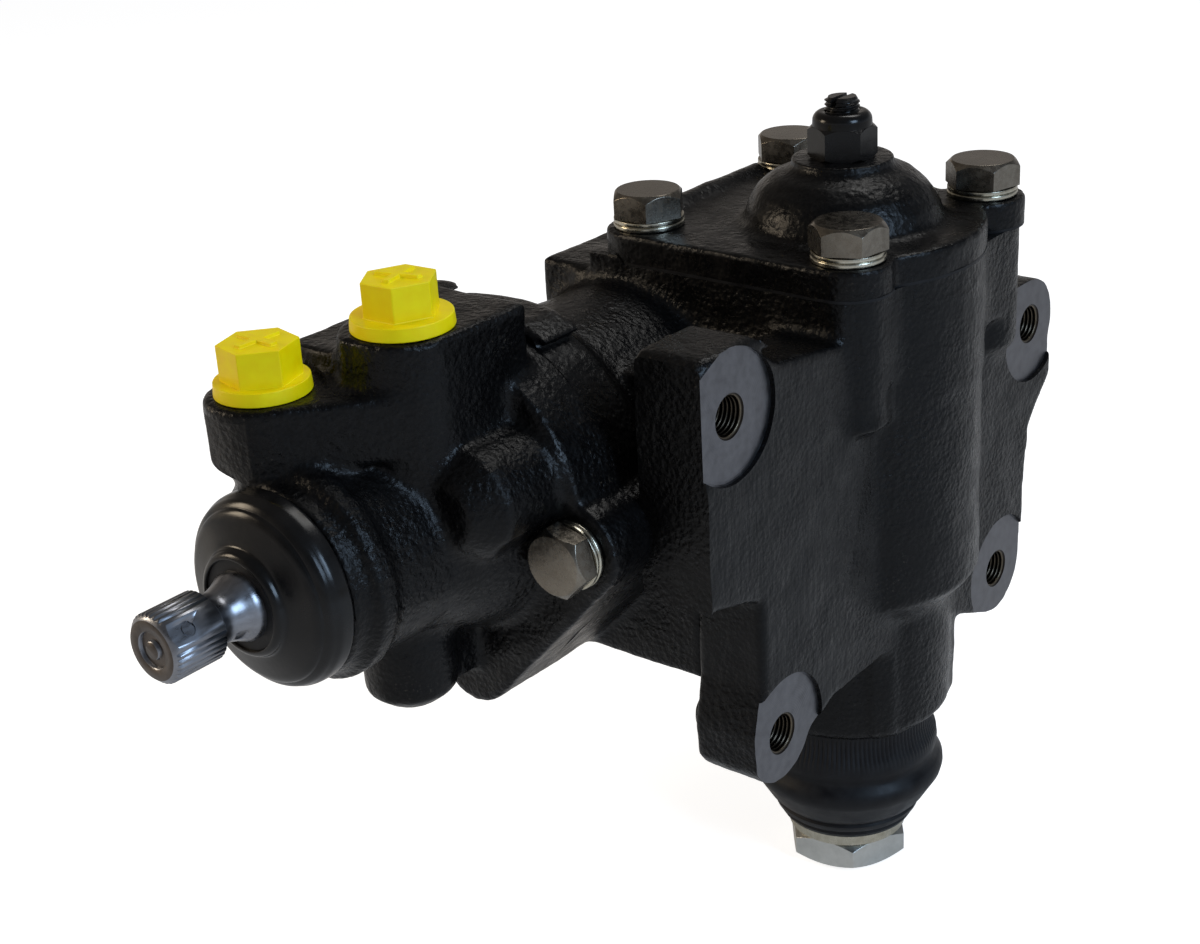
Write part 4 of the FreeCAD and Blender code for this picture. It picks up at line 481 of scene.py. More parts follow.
def roughen(item, layers):
    # soft unevenness of the cast surface, along the normals; each layer has a size and a depth
    mesh = item.data
    normals = vertexNormals(mesh)
    points = pointTable(mesh)
    amount = np.zeros(len(points))
    for size, depth in layers:
        scale = 1.0 / (size * mm)
        amount += depth * mm * np.array([noise.noise(p) for p in points * scale])
    storePoints(mesh, points + normals * amount[:, None])


def keepInside(item, margin=0.00002):
    # nothing passes the solid's own box
    low, high = np.array(cadBox[0]) + margin, np.array(cadBox[1]) - margin
    storePoints(item.data, np.clip(pointTable(item.data), low, high))


def castSkin(name, node, look):
    # voxel skin over the solid and its fillers, filleted, roughened, then machined again
    source = weldedCopy(node, name + "Source")
    for trim in look.get("trim", []):
        combine(source, trim, "DIFFERENCE")
        drop(trim)
    skin = asObject(name, source.data.copy())
    for low, high, shift in look["extend"]:
        slab = slabOf(source, low, high, shift)
        addTo(skin, slab.data)
        drop(slab)
    for mesh in look["fill"]:
        addTo(skin, mesh)
    drop(source)
    remesh = skin.modifiers.new("skin", "REMESH")
    remesh.mode = "VOXEL"
    remesh.voxel_size = look["voxel"] * mm
    bpy.context.view_layer.update()
    applyModifiers(skin)
    relax(skin, look["fillPasses"], look["roundPasses"])
    roughen(skin, look["unevenness"])
    keepInside(skin)
    for mesh in look.get("crisp", []):
        part = asObject("crisp", mesh)
        combine(skin, part, "UNION")
        drop(part)
    cutter = unionAll(name + "Cutter", look["cut"])
    combine(skin, cutter, "DIFFERENCE")
    drop(cutter)
    print(name, len(skin.data.polygons), "faces")
    return skin


def shadeSmooth(item, degrees=32):
    mesh = item.data
    mesh.polygons.foreach_set("use_smooth", [True] * len(mesh.polygons))
    mesh.set_sharp_from_angle(angle=math.radians(degrees))
    mesh.update()


def faceTable(mesh):
    centres = np.empty(len(mesh.polygons) * 3)
    normals = np.empty(len(mesh.polygons) * 3)
    mesh.polygons.foreach_get("center", centres)
    mesh.polygons.foreach_get("normal", normals)
    return centres.reshape(-1, 3) / mm, normals.reshape(-1, 3)


def cast(item, body, node):
    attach(item, body)
    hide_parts(node)


def dress(item, body, node, material, degrees=32):
    item.data.materials.clear()
    item.data.materials.append(material)
    if degrees:
        shadeSmooth(item, degrees)
    cast(item, body, node)


voxel = 0.9

# gear housing
housing = {
    "pads": [(-94.2, 188.2, 18.0), (-74.4, 87.2, 17.0), (45.7, 87.7, 16.0), (63.1, 164.5, 15.0)],  # y, z, depth
    "padFace": 27.0, "spotRadius": 18.0, "tapRadius": 5.1, "tapChamfer": 6.2, "chamferDepth": 1.1,
    "padSteel": ((0.10, 0.10, 0.108), (0.15, 0.15, 0.16), (0.32, 0.42)),
    "coverBolts": [(22.4, -32.3), (-44.8, -32.3), (-44.8, 39.9), (22.4, 39.9)], "coverHole": (192.3, 6.05),
    "valveBoltCircle": 44.0, "valveBoltAngles": (-6, -125, -175, 140), "valveHole": (-86, 5.05),
    "jointPlane": -106.0, "top": 202.5, "rear": 88.0, "tubeRadius": 38.0,
    "sidePad": ((-77, -43.6, 166), (-48, -4, 199.6)), "lowStep": ((-74, -49.6, 162), (-48, -7, 178)),
    "frontBlock": ((-67, -60, 178), (-44.5, -45.05, 208)), "levelled": ((-80, -60, 197.9), (-58.2, 30, 212)),
    "cornerLip": (20.6, -32.0, 164.6, 166.4, 13.4),
    "tubeCores": [(-110, 95, 30.0), (72, 95, 32.0)],  # start, end and radius along Y
    "towerCores": [(141.5, 210, 31.5, 128), (40, 160, 16.6, 96), (56.0, 129, 20.0, 96), (40, 68, 23.0, 96),
                   (58.4, 60.2, 24.0, 96)],  # start, end, radius and sides along Z
    "smoothZone": (-34, 150, 0.28),  # border's Y, the height it is given at, and its lean
    "skin": {"fillPasses": 22, "roundPasses": 3, "unevenness": [(14, 0.36), (4.5, 0.1), (1.9, 0.06)]},
}


def valveBoltSpots():
    spots = []
    for angle in housing["valveBoltAngles"]:
        turn = math.radians(angle)
        spots.append((wormX + housing["valveBoltCircle"] * math.cos(turn),
                      wormZ + housing["valveBoltCircle"] * math.sin(turn)))
    return spots


def gearFillers():
    fill = [
        rodMesh("f", (wormZ, wormX), "y", -109, 87.6, 33),
        rodMesh("f", (0, 0), "z", 56.4, 206, 24),
        rodMesh("f", (0, 0), "z", 141, 206, 32.5),
    ]
    for y, z, depth in housing["pads"]:
        fill.append(rodMesh("f", (y, z), "x", 1, 28.4, 6.5))
    for x, y in housing["coverBolts"]:
        fill.append(rodMesh("f", (x, y), "z", 189, 206, 7.5, 32))
    for x, z in valveBoltSpots():
        fill.append(rodMesh("f", (z, x), "y", -109, -84, 6.5, 32))
    # flat pad beside the crown, with a low step down to the tube in front of it
    fill += [boxMesh("f", *housing["sidePad"]), boxMesh("f", *housing["lowStep"])]
    # lip under the corner by the plate
    x, y, low, high, radius = housing["cornerLip"]
    fill.append(rodMesh("f", (x, y), "z", low, high, radius, 48))
    return fill


def gearCutters():
    cut = [
        boxMesh("c", (-140, -140, 60), (60, housing["jointPlane"], 240)),
        boxMesh("c", (-58, -44.9, housing["top"]), (45, 60, 240)),
        boxMesh("c", (-120, housing["rear"], 60), (40, 120, 240)),
    ]
    for start, end, radius in housing["tubeCores"]:
        cut.append(rodMesh("c", (wormZ, wormX), "y", start, end, radius, 128))
    for start, end, radius, sides in housing["towerCores"]:
        cut.append(rodMesh("c", (0, 0), "z", start, end, radius, sides))
    face, tap = housing["padFace"], housing["tapRadius"]
    for y, z, depth in housing["pads"]:
        cut.append(rodMesh("c", (y, z), "x", face, 40, housing["spotRadius"], 160))
        cut.append(rodMesh("c", (y, z), "x", face - depth, 40, tap, 64))
        cut.append(rodMesh("c", (y, z), "x", face - housing["chamferDepth"], face + 0.1, tap, 64,
                           housing["tapChamfer"]))
    bottom, radius = housing["coverHole"]
    for x, y in housing["coverBolts"]:
        cut.append(rodMesh("c", (x, y), "z", bottom, 212, radius, 48))
    bottom, radius = housing["valveHole"]
    for x, z in valveBoltSpots():
        cut.append(rodMesh("c", (z, x), "y", -110, bottom, radius, 48))
    return cut


def gearTrims():
    block = asObject("block", boxMesh("block", *housing["frontBlock"]))
    tube = asObject("tube", rodMesh("tube", (wormZ, wormX), "y", -80, -30, housing["tubeRadius"], 128))
    combine(block, tube, "DIFFERENCE")
    drop(tube)
    return [block, asObject("level", boxMesh("level", *housing["levelled"]))]


def gearCasting():
    skin = castSkin("gearCasting", "gear_housing", {
        "extend": [
            ((-140, -106, 60), (60, -101.5, 240), (0, -4, 0)),
            ((-140, -120, 198), (60, 100, 202.5), (0, 0, 3.5)),
            ((22, -140, 50), (26.95, 100, 240), (1.45, 0, 0)),
            ((-140, 84, 60), (60, 88, 240), (0, 3, 0)),
        ],
        "trim": gearTrims(), "fill": gearFillers(), "cut": gearCutters(), "voxel": voxel, **housing["skin"],
    })
    mesh = skin.data
    mesh.materials.clear()
    for material in (roughPaint, platePaint, threadSteel):
        mesh.materials.append(material)
    centres, normals = faceTable(mesh)
    index = np.zeros(len(centres), int)
    # the plate's front zone is smoother; the border leans back towards the foot of the plate
    start, level, lean = housing["smoothZone"]
    border = start + (centres[:, 2] - level) * lean
    index[(centres[:, 0] > 24) & (normals[:, 0] > 0.75) & (centres[:, 1] < border)] = 1
    face = housing["padFace"]
    for i, (y, z, depth) in enumerate(housing["pads"]):
        reach = np.hypot(centres[:, 1] - y, centres[:, 2] - z)
        flat = (np.abs(centres[:, 0] - face) < 0.03) & (normals[:, 0] > 0.98) & (reach < 18.05)
        mesh.materials.append(turnedSteel("padSteel%d" % i, (0, y * mm, z * mm), *housing["padSteel"]))
        index[flat] = 3 + i
        index[(reach < 6.3) & (centres[:, 0] < face - 0.02) & (centres[:, 0] > 2)
              & (normals[:, 0] < 0.98)] = 2
    mesh.polygons.foreach_set("material_index", index)
    shadeSmooth(skin)
    cast(skin, "housing", "gear_housing")


gearCasting()


# valve housing
valve = {
    "highPort": (-36.0, -142.0, 215.5, 9.05), "lowPort": (-59.0, -169.0, 203.0, 8.05),  # x, y, top, radius
    "portDepth": 15.0, "portFace": 15.6, "highBoss": 16.6, "flangeFront": -122.0, "spot": 10.4, "boltHole": 5.5,
    "front": -182.0, "shoulder": ((-67.5, -153, 186), (-44, -124, 209)),
    "cores": [(-200, -100, 17.05), (-200, -165, 20.05), (-126.94, -100, 24.0)],  # start, end and radius
    "skin": {"fillPasses": 20, "roundPasses": 3, "unevenness": [(12, 0.28), (4.2, 0.09), (1.8, 0.06)]},
}


def valveCasting():
    high, low = valve["highPort"], valve["lowPort"]
    fill = [
        rodMesh("f", (wormZ, wormX), "y", -181, -103, 25),
        rodMesh("f", (high[0], high[1]), "z", 158, 214.5, 10.5),
        rodMesh("f", (low[0], low[1]), "z", 163, 202, 9.5),
    ]
    for x, z in valveBoltSpots():
        fill.append(rodMesh("f", (z, x), "y", -121.5, -103, 6.5, 32))
    # shoulder on the far side of the high port; its boss is round towards the low one
    fill.append(boxMesh("f", *valve["shoulder"]))
    trim = asObject("trim", boxMesh("trim", (-80, -190, low[2] + 0.3), (-4, high[1], 225)))
    boss = asObject("boss", rodMesh("boss", (high[0], high[1]), "z", 195, 230, valve["highBoss"], 96))
    combine(trim, boss, "DIFFERENCE")
    drop(boss)
    cut = [boxMesh("c", (-140, housing["jointPlane"], 60), (60, -60, 240))]
    for start, end, radius in valve["cores"]:
        cut.append(rodMesh("c", (wormZ, wormX), "y", start, end, radius, 96))
    cut.append(boxMesh("c", (-90, -230, 120), (0, valve["front"], 200)))
    for x, y, top, radius in (high, low):
        cut.append(rodMesh("c", (x, y), "z", top - valve["portDepth"], 230, radius, 64))
        cut.append(rodMesh("c", (x, y), "z", top, 230, valve["portFace"], 64))
    for x, z in valveBoltSpots():
        cut.append(rodMesh("c", (z, x), "y", -152, -100, valve["boltHole"], 48))
        cut.append(rodMesh("c", (z, x), "y", -152, valve["flangeFront"], valve["spot"], 64))
    skin = castSkin("valveCasting", "valve_housing", {
        "extend": [((-140, -110, 60), (60, -106, 240), (0, 3, 0))], "trim": [trim],
        "fill": fill, "cut": cut, "voxel": voxel, **valve["skin"],
    })
    dress(skin, "housing", "valve_housing", valvePaint)


valveCasting()


# sector cover
cover = {
    "seat": 203.3, "top": 211.3, "domeTop": 229.08, "boltHole": 6.5, "boltFace": 11.6, "spigot": 31.3,
    "farRim": (209.3, -50.0, -24, 32, 4.6),  # z, x, start, end and radius
    "cores": [(180, 194.5, 22, 96), (180, 211.5, 18, 96), (200, 240, 5.05, 64)],  # start, end, radius, sides
    "skin": {"fillPasses": 22, "roundPasses": 3, "unevenness": [(10, 0.3), (3.5, 0.1), (1.6, 0.06)]},
}


def coverCasting():
    fill = [rodMesh("f", (0, 0), "z", 190, 228.6, 7)]
    for x, y in housing["coverBolts"]:
        fill.append(rodMesh("f", (x, y), "z", 200.5, 210.8, 7.5, 32))
    fill.append(rodMesh("f", (0, 0), "z", 190, 212, 23))
    # raised rim along the cover's far side, which leaves a hollow between it and the dome
    z, x, start, end, radius = cover["farRim"]
    fill.append(rodMesh("f", (z, x), "y", start, end, radius, 32))
    domeTop = cover["domeTop"]
    collar = lathe("collar", rounded([(4.4, 222), (17.4, 223.4), (14.6, 226.2), (14.3, domeTop), (4.4, domeTop)],
                                     0.7), (0, 0))
    cut = [rodMesh("c", (0, 0), "z", *core) for core in cover["cores"]]
    seat = asObject("seat", boxMesh("seat", (-140, -140, 180), (60, 100, cover["seat"])))
    spigot = asObject("spigot", rodMesh("spigot", (0, 0), "z", 170, 220, cover["spigot"], 96))
    combine(seat, spigot, "DIFFERENCE")
    cut.append(seat.data.copy())
    drop(spigot)
    drop(seat)
    for x, y in housing["coverBolts"]:
        cut.append(rodMesh("c", (x, y), "z", 197, 225, cover["boltHole"], 48))
        cut.append(rodMesh("c", (x, y), "z", cover["top"], 225, cover["boltFace"], 64))
    skin = castSkin("coverCasting", "sector_cover", {
        "extend": [((-140, -140, cover["seat"] + 0.05), (60, 100, 208), (0, 0, -3.2))],
        "fill": fill, "cut": cut, "crisp": [collar], "voxel": voxel * 0.85, **cover["skin"],
    })
    dress(skin, "housing", "sector_cover", coverPaint)


coverCasting()


# turned, moulded and pressed pieces
boot = {
    "outside": [(26.5, 55.8), (26.6, 50.5), (27.3, 47.6), (28.2, 45.2), (28.5, 42.4), (28.3, 40.6), (27.7, 39.2),
                (27.9, 38.0), (29.3, 36.6), (30.3, 35.0), (30.4, 33.4), (29.9, 31.4), (25.6, 24.2), (23.7, 22.2),
                (23.0, 21.4), (23.4, 20.6), (22.8, 19.0), (21.3, 17.6), (21.5, 16.8), (20.8, 15.6), (19.4, 14.92)],
    "inside": [(14.9, 14.92), (14.9, 18.6), (20.0, 21.6), (25.6, 31.5), (25.4, 36.0), (25.2, 44.0), (24.5, 53.8),
               (20.2, 53.8), (20.2, 55.8)],
    "ribs": 118, "ribDepth": 0.34, "ribLow": 43.0, "ribHigh": 54.8,
}


def dustBoot():
    def ripple(radius, along, turn):
        if radius < 26 or not boot["ribLow"] < along < boot["ribHigh"]:
            return 0.0
        fade = min(1.0, (along - boot["ribLow"]) / 3.0, (boot["ribHigh"] - along) / 0.6)
        return -boot["ribDepth"] * fade * (0.5 + 0.5 * math.cos(boot["ribs"] * turn)) ** 2
    profile = []
    for (r0, z0), (r1, z1) in zip(boot["outside"], boot["outside"][1:]):
        steps = max(1, int(abs(z1 - z0) / 0.9))
        profile += [(r0 + (r1 - r0) * i / steps, z0 + (z1 - z0) * i / steps) for i in range(steps)]
    profile += [boot["outside"][-1]] + boot["inside"]
    item = asObject("dustBoot", lathe("dustBoot", profile, (0, 0), "z", boot["ribs"] * 6, ripple))
    dress(item, "housing", "dust_boot", rubber, 40)


cap = {
    "profile": [(11.84, -195.98), (12.6, -195.98), (13.7, -195.2), (14.1, -193.5), (15.3, -193.0), (21.2, -191.2),
                (22.5, -190.4), (22.9, -189.6), (23.2, -189.5), (24.4, -188.6), (24.95, -187.2), (25.1, -186.9),
                (25.5, -185.9), (25.6, -184.0), (25.6, -182.02), (20, -182.02), (20, -166), (14, -166), (14, -174),
                (12, -174), (12, -187.2), (11.8, -189.4)],
}


def frontCap():
    # the seal's recess stays open inside the boss
    profile = rounded(cap["profile"], 0.9, 4)
    item = asObject("frontCap", lathe("frontCap", profile, (wormZ, wormX), "y", 220))
    dress(item, "housing", "front_cap", glossPaint, 28)


shaftEnd = {
    "neck": [(3.7, -204.5), (6.58, -204.5), (6.58, -202.5), (7.48, -199.5), (8.0, -198.4), (3.7, -198.4)],
    "bareAt": -18.0, "facing": 37.0, "flat": 8.45, "mark": (-216.5, 1.95, 1.5), "markDepth": 0.3,
    "endFace": -212, "pinAt": -200.5, "pinHalf": 6.4, "pinRadius": 1.5,
}


def turnShaft(item, degrees):
    axis = Matrix.Translation((wormX * mm, 0, wormZ * mm))
    item.data.transform(axis @ Matrix.Rotation(math.radians(degrees), 4, "Y") @ axis.inverted())


def inputShaft():
    # the bare stretch of the serrations carries a flat with a ring mark; the pin's hole is closed
    item = weldedCopy("input_shaft", "inputShaft")
    neck = asObject("neck", lathe("neck", shaftEnd["neck"], (wormZ, wormX), "y", 96))
    combine(item, neck, "UNION")
    drop(neck)
    turnShaft(item, shaftEnd["bareAt"])
    base = wormX + shaftEnd["flat"]
    flat = asObject("flat", boxMesh("flat", (base, -226, wormZ - 9), (wormX + 12, -206, wormZ + 9)))
    combine(item, flat, "DIFFERENCE")
    drop(flat)
    y, outer, inner = shaftEnd["mark"]
    ring = asObject("ring", rodMesh("ring", (y, wormZ), "x", base - shaftEnd["markDepth"], base + 2, outer, 48))
    core = asObject("core", rodMesh("core", (y, wormZ), "x", base - 2, base + 3, inner, 48))
    combine(ring, core, "DIFFERENCE")
    drop(core)
    combine(item, ring, "DIFFERENCE")
    drop(ring)
    turnShaft(item, -shaftEnd["facing"])
    dress(item, "input", "input_shaft", bareSteel, 30)
    # the end faces take the darker copy of the steel: painted shade
    item.data.materials.append(shadedEndSteel)
    centres, normals = faceTable(item.data)
    ends = (normals[:, 1] < -0.9) & (centres[:, 1] < shaftEnd["endFace"])
    item.data.polygons.foreach_set("material_index", ends.astype(int))
    half = shaftEnd["pinHalf"]
    pin = asObject("inputPin", rodMesh("inputPin", (wormX, shaftEnd["pinAt"]), "z", wormZ - half, wormZ + half,
                                       shaftEnd["pinRadius"], 48))
    softEdges(pin, 0.3)
    dress(pin, "input", "torsion_bar_input_pin", innerSteel, None)


screw = {"radius": 5.0, "headRadius": 7.9, "headTop": 204.5, "pitch": 1.25, "depth": 0.62, "low": 199.5,
         "top": 246.1, "threadFrom": 229.5, "slotHalf": 0.9, "slotDepth": 2.5}


def adjustingScrew():
    def ripple(radius, along, turn):
        if radius < 4.2 or along < screw["threadFrom"]:
            return 0.0
        phase = (along / screw["pitch"] - turn / math.tau) % 1.0
        return -screw["depth"] * min(1.0, abs(phase - 0.5) * 2.4)
    radius, head, low, top = screw["radius"], screw["headRadius"], screw["low"], screw["top"]
    start, headTop, half = screw["threadFrom"], screw["headTop"], screw["slotHalf"]
    profile = [(0, low), (head, low), (head, headTop), (radius, headTop), (radius, start - 0.1)]
    steps = int((top - 1 - start) / 0.13)
    profile += [(radius, start + (top - 1 - start) * i / steps) for i in range(steps + 1)]
    profile += [(radius - 0.4, top - 0.6), (radius - 1.1, top), (0, top)]
    item = asObject("adjustingScrew", lathe("adjustingScrew", profile, (0, 0), "z", 72, ripple))
    slot = asObject("slot", boxMesh("slot", (-half, -7, top - screw["slotDepth"]), (half, 7, top + 2)))
    combine(item, slot, "DIFFERENCE", "EXACT")
    drop(slot)
    dress(item, "housing", "adjusting_screw", glossPaint, 35)


lockNut = {"flats": 17.0, "low": 229.1, "hexTop": 238.0, "top": 242.06, "bore": 5.05, "spin": 33}


def hexMesh(name, flats, centre, low, high, spin):
    reach = flats / math.sqrt(3)
    corners = [(centre[0] + reach * math.cos(math.radians(60 * i + spin)),
                centre[1] + reach * math.sin(math.radians(60 * i + spin))) for i in range(6)]
    points = [(x, y, low) for x, y in corners] + [(x, y, high) for x, y in corners]
    faces = [(i, (i + 1) % 6, 6 + (i + 1) % 6, 6 + i) for i in range(6)]
    return meshFrom(name, points, faces + [(5, 4, 3, 2, 1, 0), (6, 7, 8, 9, 10, 11)])


def softEdges(item, width, segments=2, degrees=26):
    bevel = item.modifiers.new("soft", "BEVEL")
    bevel.width = width * mm
    bevel.segments = segments
    bevel.limit_method = "ANGLE"
    bevel.angle_limit = math.radians(degrees)
    bpy.context.view_layer.update()
    applyModifiers(item)
    item.data.polygons.foreach_set("use_smooth", [True] * len(item.data.polygons))
    weigh = item.modifiers.new("flats", "WEIGHTED_NORMAL")
    weigh.weight = 100
    bpy.context.view_layer.update()
    return applyModifiers(item)


def hexLockNut():
    half, low, hexTop, top = lockNut["flats"] / 2, lockNut["low"], lockNut["hexTop"], lockNut["top"]
    item = asObject("lockNut", hexMesh("lockNut", lockNut["flats"], (0, 0), low, hexTop, lockNut["spin"]))
    form = asObject("form", lathe("form", [(0, low), (half * 1.03, low), (half * 1.2, low + 1),
                                           (half * 1.2, hexTop - 1.4), (half * 1.01, hexTop), (0, hexTop)],
                                  (0, 0), "z", 96))
    combine(item, form, "INTERSECT")
    drop(form)
    profile = rounded([(0, hexTop - 0.8), (8.5, hexTop - 0.8), (8.3, 240.6), (7.0, top), (0, top)], 0.9)
    collar = asObject("collar", lathe("nutCollar", profile, (0, 0), "z", 96))
    combine(item, collar, "UNION")
    drop(collar)
    bore = asObject("bore", rodMesh("bore", (0, 0), "z", 225, 250, lockNut["bore"], 64))
    combine(item, bore, "DIFFERENCE")
    drop(bore)
    softEdges(item, 0.22, 2, 24)
    dress(item, "housing", "lock_nut", glossPaint, None)


# spring washers: a coil of one turn whose slanted ends leave a narrow gap
splitRing = {"gap": 8, "slant": 0.14, "lift": 0.28, "height": 2.95, "steps": 72}


def splitRings(name, node, spots, axis, base, inner, outer):
    order = {"y": (2, 0, 1), "z": (0, 1, 2)}[axis]
    height, gap, steps = splitRing["height"], splitRing["gap"], splitRing["steps"]
    section = rounded([(inner, 0), (outer, 0), (outer, height * 0.40), (outer - 0.35, height * 0.47),
                       (outer - 0.1, height * 0.54), (outer - 0.1, height - 0.3), (inner, height - 0.3)], 0.22, 2)
    points, faces = [], []
    for centre, gapAt in spots:
        first = len(points)
        for i in range(steps + 1):
            share = i / steps
            for radius, along in section:
                turn = math.radians(gapAt + gap / 2 + (360 - gap) * share)
                turn += (along / height - 0.5) * splitRing["slant"]
                spot = [0, 0, 0]
                spot[order[0]] = centre[0] + radius * math.cos(turn)
                spot[order[1]] = centre[1] + radius * math.sin(turn)
                lift = along + splitRing["lift"] * share
                spot[order[2]] = base + lift if axis == "z" else base - lift
                points.append(spot)
        width = len(section)
        for i in range(steps):
            row = first + i * width
            faces += [(row + k, row + (k + 1) % width, row + width + (k + 1) % width, row + width + k)
                      for k in range(width)]
        faces += [tuple(range(first, first + width)),
                  tuple(range(first + steps * width, first + steps * width + width))]
    item = asObject(name, tidy(meshFrom(name, points, faces)))
    dress(item, "housing", node, zincWasher, 40)


def softened(node, body, material, width=0.3, degrees=30):
    # the solid's own shape with softly broken edges
    item = weldedCopy(node, node + "Soft")
    shape = bmesh.new()
    shape.from_mesh(item.data)
    bmesh.ops.dissolve_limit(shape, angle_limit=math.radians(0.6), verts=shape.verts, edges=shape.edges)
    shape.to_mesh(item.data)
    shape.free()
    softEdges(item, width, 2, degrees)
    dress(item, body, node, material, None)


dustBoot()
frontCap()
inputShaft()
adjustingScrew()
hexLockNut()
splitRings("coverRings", "cover_spring_washers", list(zip(housing["coverBolts"], (140, 75, 100, 160))), "z",
           cover["top"] + 0.02, 6.25, 10.25)
splitRings("valveRings", "valve_housing_washers",
           [((z, x), turn) for (x, z), turn in zip(valveBoltSpots(), (250, 200, 260, 230))], "y",
           valve["flangeFront"] - 0.02, 5.25, 9.3)
softened("cover_bolts", "housing", zinc)
softened("valve_housing_bolts", "housing", zinc)
softened("pressure_port_plug", "housing", yellowPlastic, 0.35)
softened("return_port_plug", "housing", yellowPlastic, 0.35)
softened("pitman_nut", "sector", nutZinc, 0.3)
print("detail pieces made")


# finishes of the nodes that keep their solids
finishes = {
    "washer": (zincWasher, ["pitman_lock_washer"]),
    "black": (glossPaint, ["housing_end_plug"]),
    "gasket": (fibre, ["cover_gasket"]),
    "rubber": (rubber, ["valve_housing_seal", "input_shaft_seal", "sector_shaft_seal", "end_plug_seal",
                        "piston_ring_expander"]),
    "shaft": (bareSteel, ["sector_shaft", "worm_shaft", "end_plug_ring"]),
    "inner": (innerSteel, ["rack_piston", "piston_end_plug", "ball_return_tube", "ball_guide_clamp",
                           "ball_guide_screws", "valve_sleeve", "torsion_bar", "torsion_bar_worm_pin",
                           "worm_bearing_retainer", "seal_retaining_ring"]),
    "ball": (ballSteel, ["recirculating_balls", "lower_sector_bearing", "upper_sector_bearing",
                         "input_needle_bearing", "worm_bearing_balls_front", "worm_bearing_race_front",
                         "worm_bearing_balls_rear", "worm_bearing_race_rear"]),
    "ring": (ringPlastic, ["piston_ring", "valve_sleeve_rings"]),
}
for material, names in finishes.values():
    for name in names:
        for place in nodes[name].material_slots:
            place.material = material
print("finishes assigned")


# floor, light and camera
studio = {
    "floorRadius": 7.0, "floorLevel": -0.0004, "lookedAt": (-0.02, -0.05, 0.12),
    "floorColour": (0.66, 0.66, 0.66), "floorSeen": 0.8, "floorMirrored": 0.2, "ambient": 0.27,
    "horizon": 0.62, "overhead": 0.16, "warmSide": (1.0, 0.9, 0.8), "coolSide": (0.78, 0.87, 1.0),
    "lamps": [
        ("softTop", (0.0, 0.45, 1.15), 0.5, 0.34, 3.0, (1.0, 0.99, 0.97)),
        ("softLeft", (-0.95, -0.75, 0.62), 0.32, 0.42, 5.0, (1.0, 0.83, 0.62)),
        ("softRight", (1.0, -0.15, 0.72), 0.4, 0.5, 7.6, (0.54, 0.74, 1.0)),
    ],
}


def seenOrMirrored(tree, seen=1.0, mirrored=1.0):
    # one level for camera rays, one for mirror and glass rays, 0 for the light that falls on the object
    rays = tree.nodes.new("ShaderNodeLightPath")
    through = math2(tree, "MAXIMUM", rays.outputs["Is Glossy Ray"], rays.outputs["Is Transmission Ray"])
    return math2(tree, "MAXIMUM", math2(tree, "MULTIPLY", rays.outputs["Is Camera Ray"], seen),
                 math2(tree, "MULTIPLY", through, mirrored))


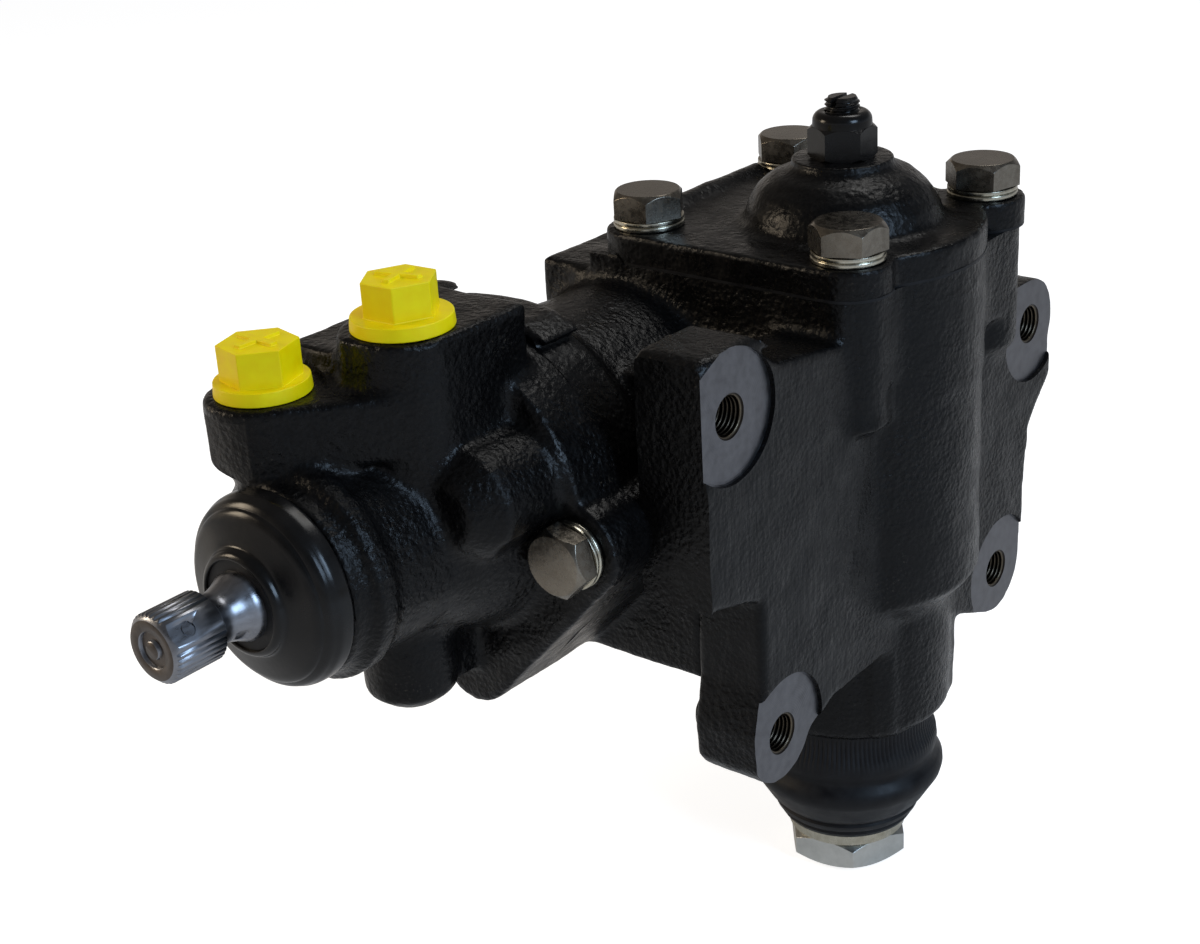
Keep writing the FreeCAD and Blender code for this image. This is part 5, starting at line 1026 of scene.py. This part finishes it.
def floorAndWorld():
    bpy.ops.mesh.primitive_circle_add(vertices=96, radius=studio["floorRadius"], fill_type="NGON",
                                      location=(0, 0, studio["floorLevel"]))
    floor = bpy.context.object
    floor.name = "studioFloor"
    material = bpy.data.materials.new("paleFloor")
    material.use_nodes = True
    tree = material.node_tree
    tree.nodes.clear()
    out = tree.nodes.new("ShaderNodeOutputMaterial")
    matt = tree.nodes.new("ShaderNodeBsdfDiffuse")
    matt.inputs["Color"].default_value = (*studio["floorColour"], 1)
    glow = tree.nodes.new("ShaderNodeEmission")
    lift = seenOrMirrored(tree, studio["floorSeen"], studio["floorMirrored"])
    tree.links.new(lift, glow.inputs["Strength"])
    both = tree.nodes.new("ShaderNodeAddShader")
    tree.links.new(matt.outputs[0], both.inputs[0])
    tree.links.new(glow.outputs[0], both.inputs[1])
    tree.links.new(both.outputs[0], out.inputs[0])
    floor.data.materials.append(material)
    world = bpy.data.worlds.new("studioWorld")
    bpy.context.scene.world = world
    world.use_nodes = True
    tree = world.node_tree
    tree.nodes.clear()
    out = tree.nodes.new("ShaderNodeOutputWorld")
    sky = tree.nodes.new("ShaderNodeBackground")
    # white where the camera looks; mirrored rays find it dimmer, above all overhead, cool on one side
    heading = tree.nodes.new("ShaderNodeTexCoord")
    split = tree.nodes.new("ShaderNodeSeparateXYZ")
    tree.links.new(heading.outputs["Generated"], split.inputs[0])
    dome = spread(tree, split.outputs["Z"], studio["horizon"], studio["overhead"], 0.02, 0.36)
    seen = seenOrMirrored(tree)
    plain = math2(tree, "MULTIPLY", math2(tree, "SUBTRACT", 1.0, seen), studio["ambient"])
    level = math2(tree, "ADD", seenOrMirrored(tree, 1.0, dome), plain)
    tree.links.new(level, sky.inputs["Strength"])
    side = tree.nodes.new("ShaderNodeMix")
    side.data_type = "RGBA"
    tree.links.new(seenOrMirrored(tree, 1.0, 0.0), side.inputs[0])
    sides = tint(tree, spread(tree, split.outputs["X"], 0.0, 1.0, -0.8, 0.8),
                 [(0.0, studio["warmSide"]), (1.0, studio["coolSide"])])
    tree.links.new(sides, side.inputs[6])
    side.inputs[7].default_value = (1, 1, 1, 1)
    tree.links.new(side.outputs[2], sky.inputs["Color"])
    tree.links.new(sky.outputs[0], out.inputs[0])


def lamps():
    target = Vector(studio["lookedAt"])
    for name, spot, width, height, power, colour in studio["lamps"]:
        light = bpy.data.lights.new(name, "AREA")
        light.shape = "RECTANGLE"
        light.size, light.size_y = width, height
        light.energy = power
        light.color = colour
        item = bpy.data.objects.new(name, light)
        bpy.context.scene.collection.objects.link(item)
        item.location = spot
        item.rotation_euler = (target - Vector(spot)).to_track_quat("-Z", "Y").to_euler()


# the photograph's viewpoint: place, turn, downward tilt and roll
viewpoint = {"place": (0.29824, -0.46383, 0.37357), "yaw": -0.705, "pitch": 0.409, "roll": 0.060,
             "lens": 59.6}


def cameraHere():
    yaw, pitch, roll = viewpoint["yaw"], viewpoint["pitch"], viewpoint["roll"]
    ahead = Vector((math.sin(yaw) * math.cos(pitch), math.cos(yaw) * math.cos(pitch), -math.sin(pitch)))
    level = Vector((math.cos(yaw), -math.sin(yaw), 0))
    down = ahead.cross(level)
    right = math.cos(roll) * level + math.sin(roll) * down
    up = math.sin(roll) * level - math.cos(roll) * down
    turn = Matrix((right, up, -ahead)).transposed()
    data = bpy.data.cameras.new("camera")
    data.lens = viewpoint["lens"]
    data.sensor_width = 36.0
    data.sensor_fit = "HORIZONTAL"
    data.clip_start = 0.01
    item = bpy.data.objects.new("camera", data)
    bpy.context.scene.collection.objects.link(item)
    item.matrix_world = Matrix.Translation(viewpoint["place"]) @ turn.to_4x4()
    bpy.context.scene.camera = item


floorAndWorld()
lamps()
cameraHere()
bpy.context.scene.view_settings.view_transform = "Standard"
print("studio set")
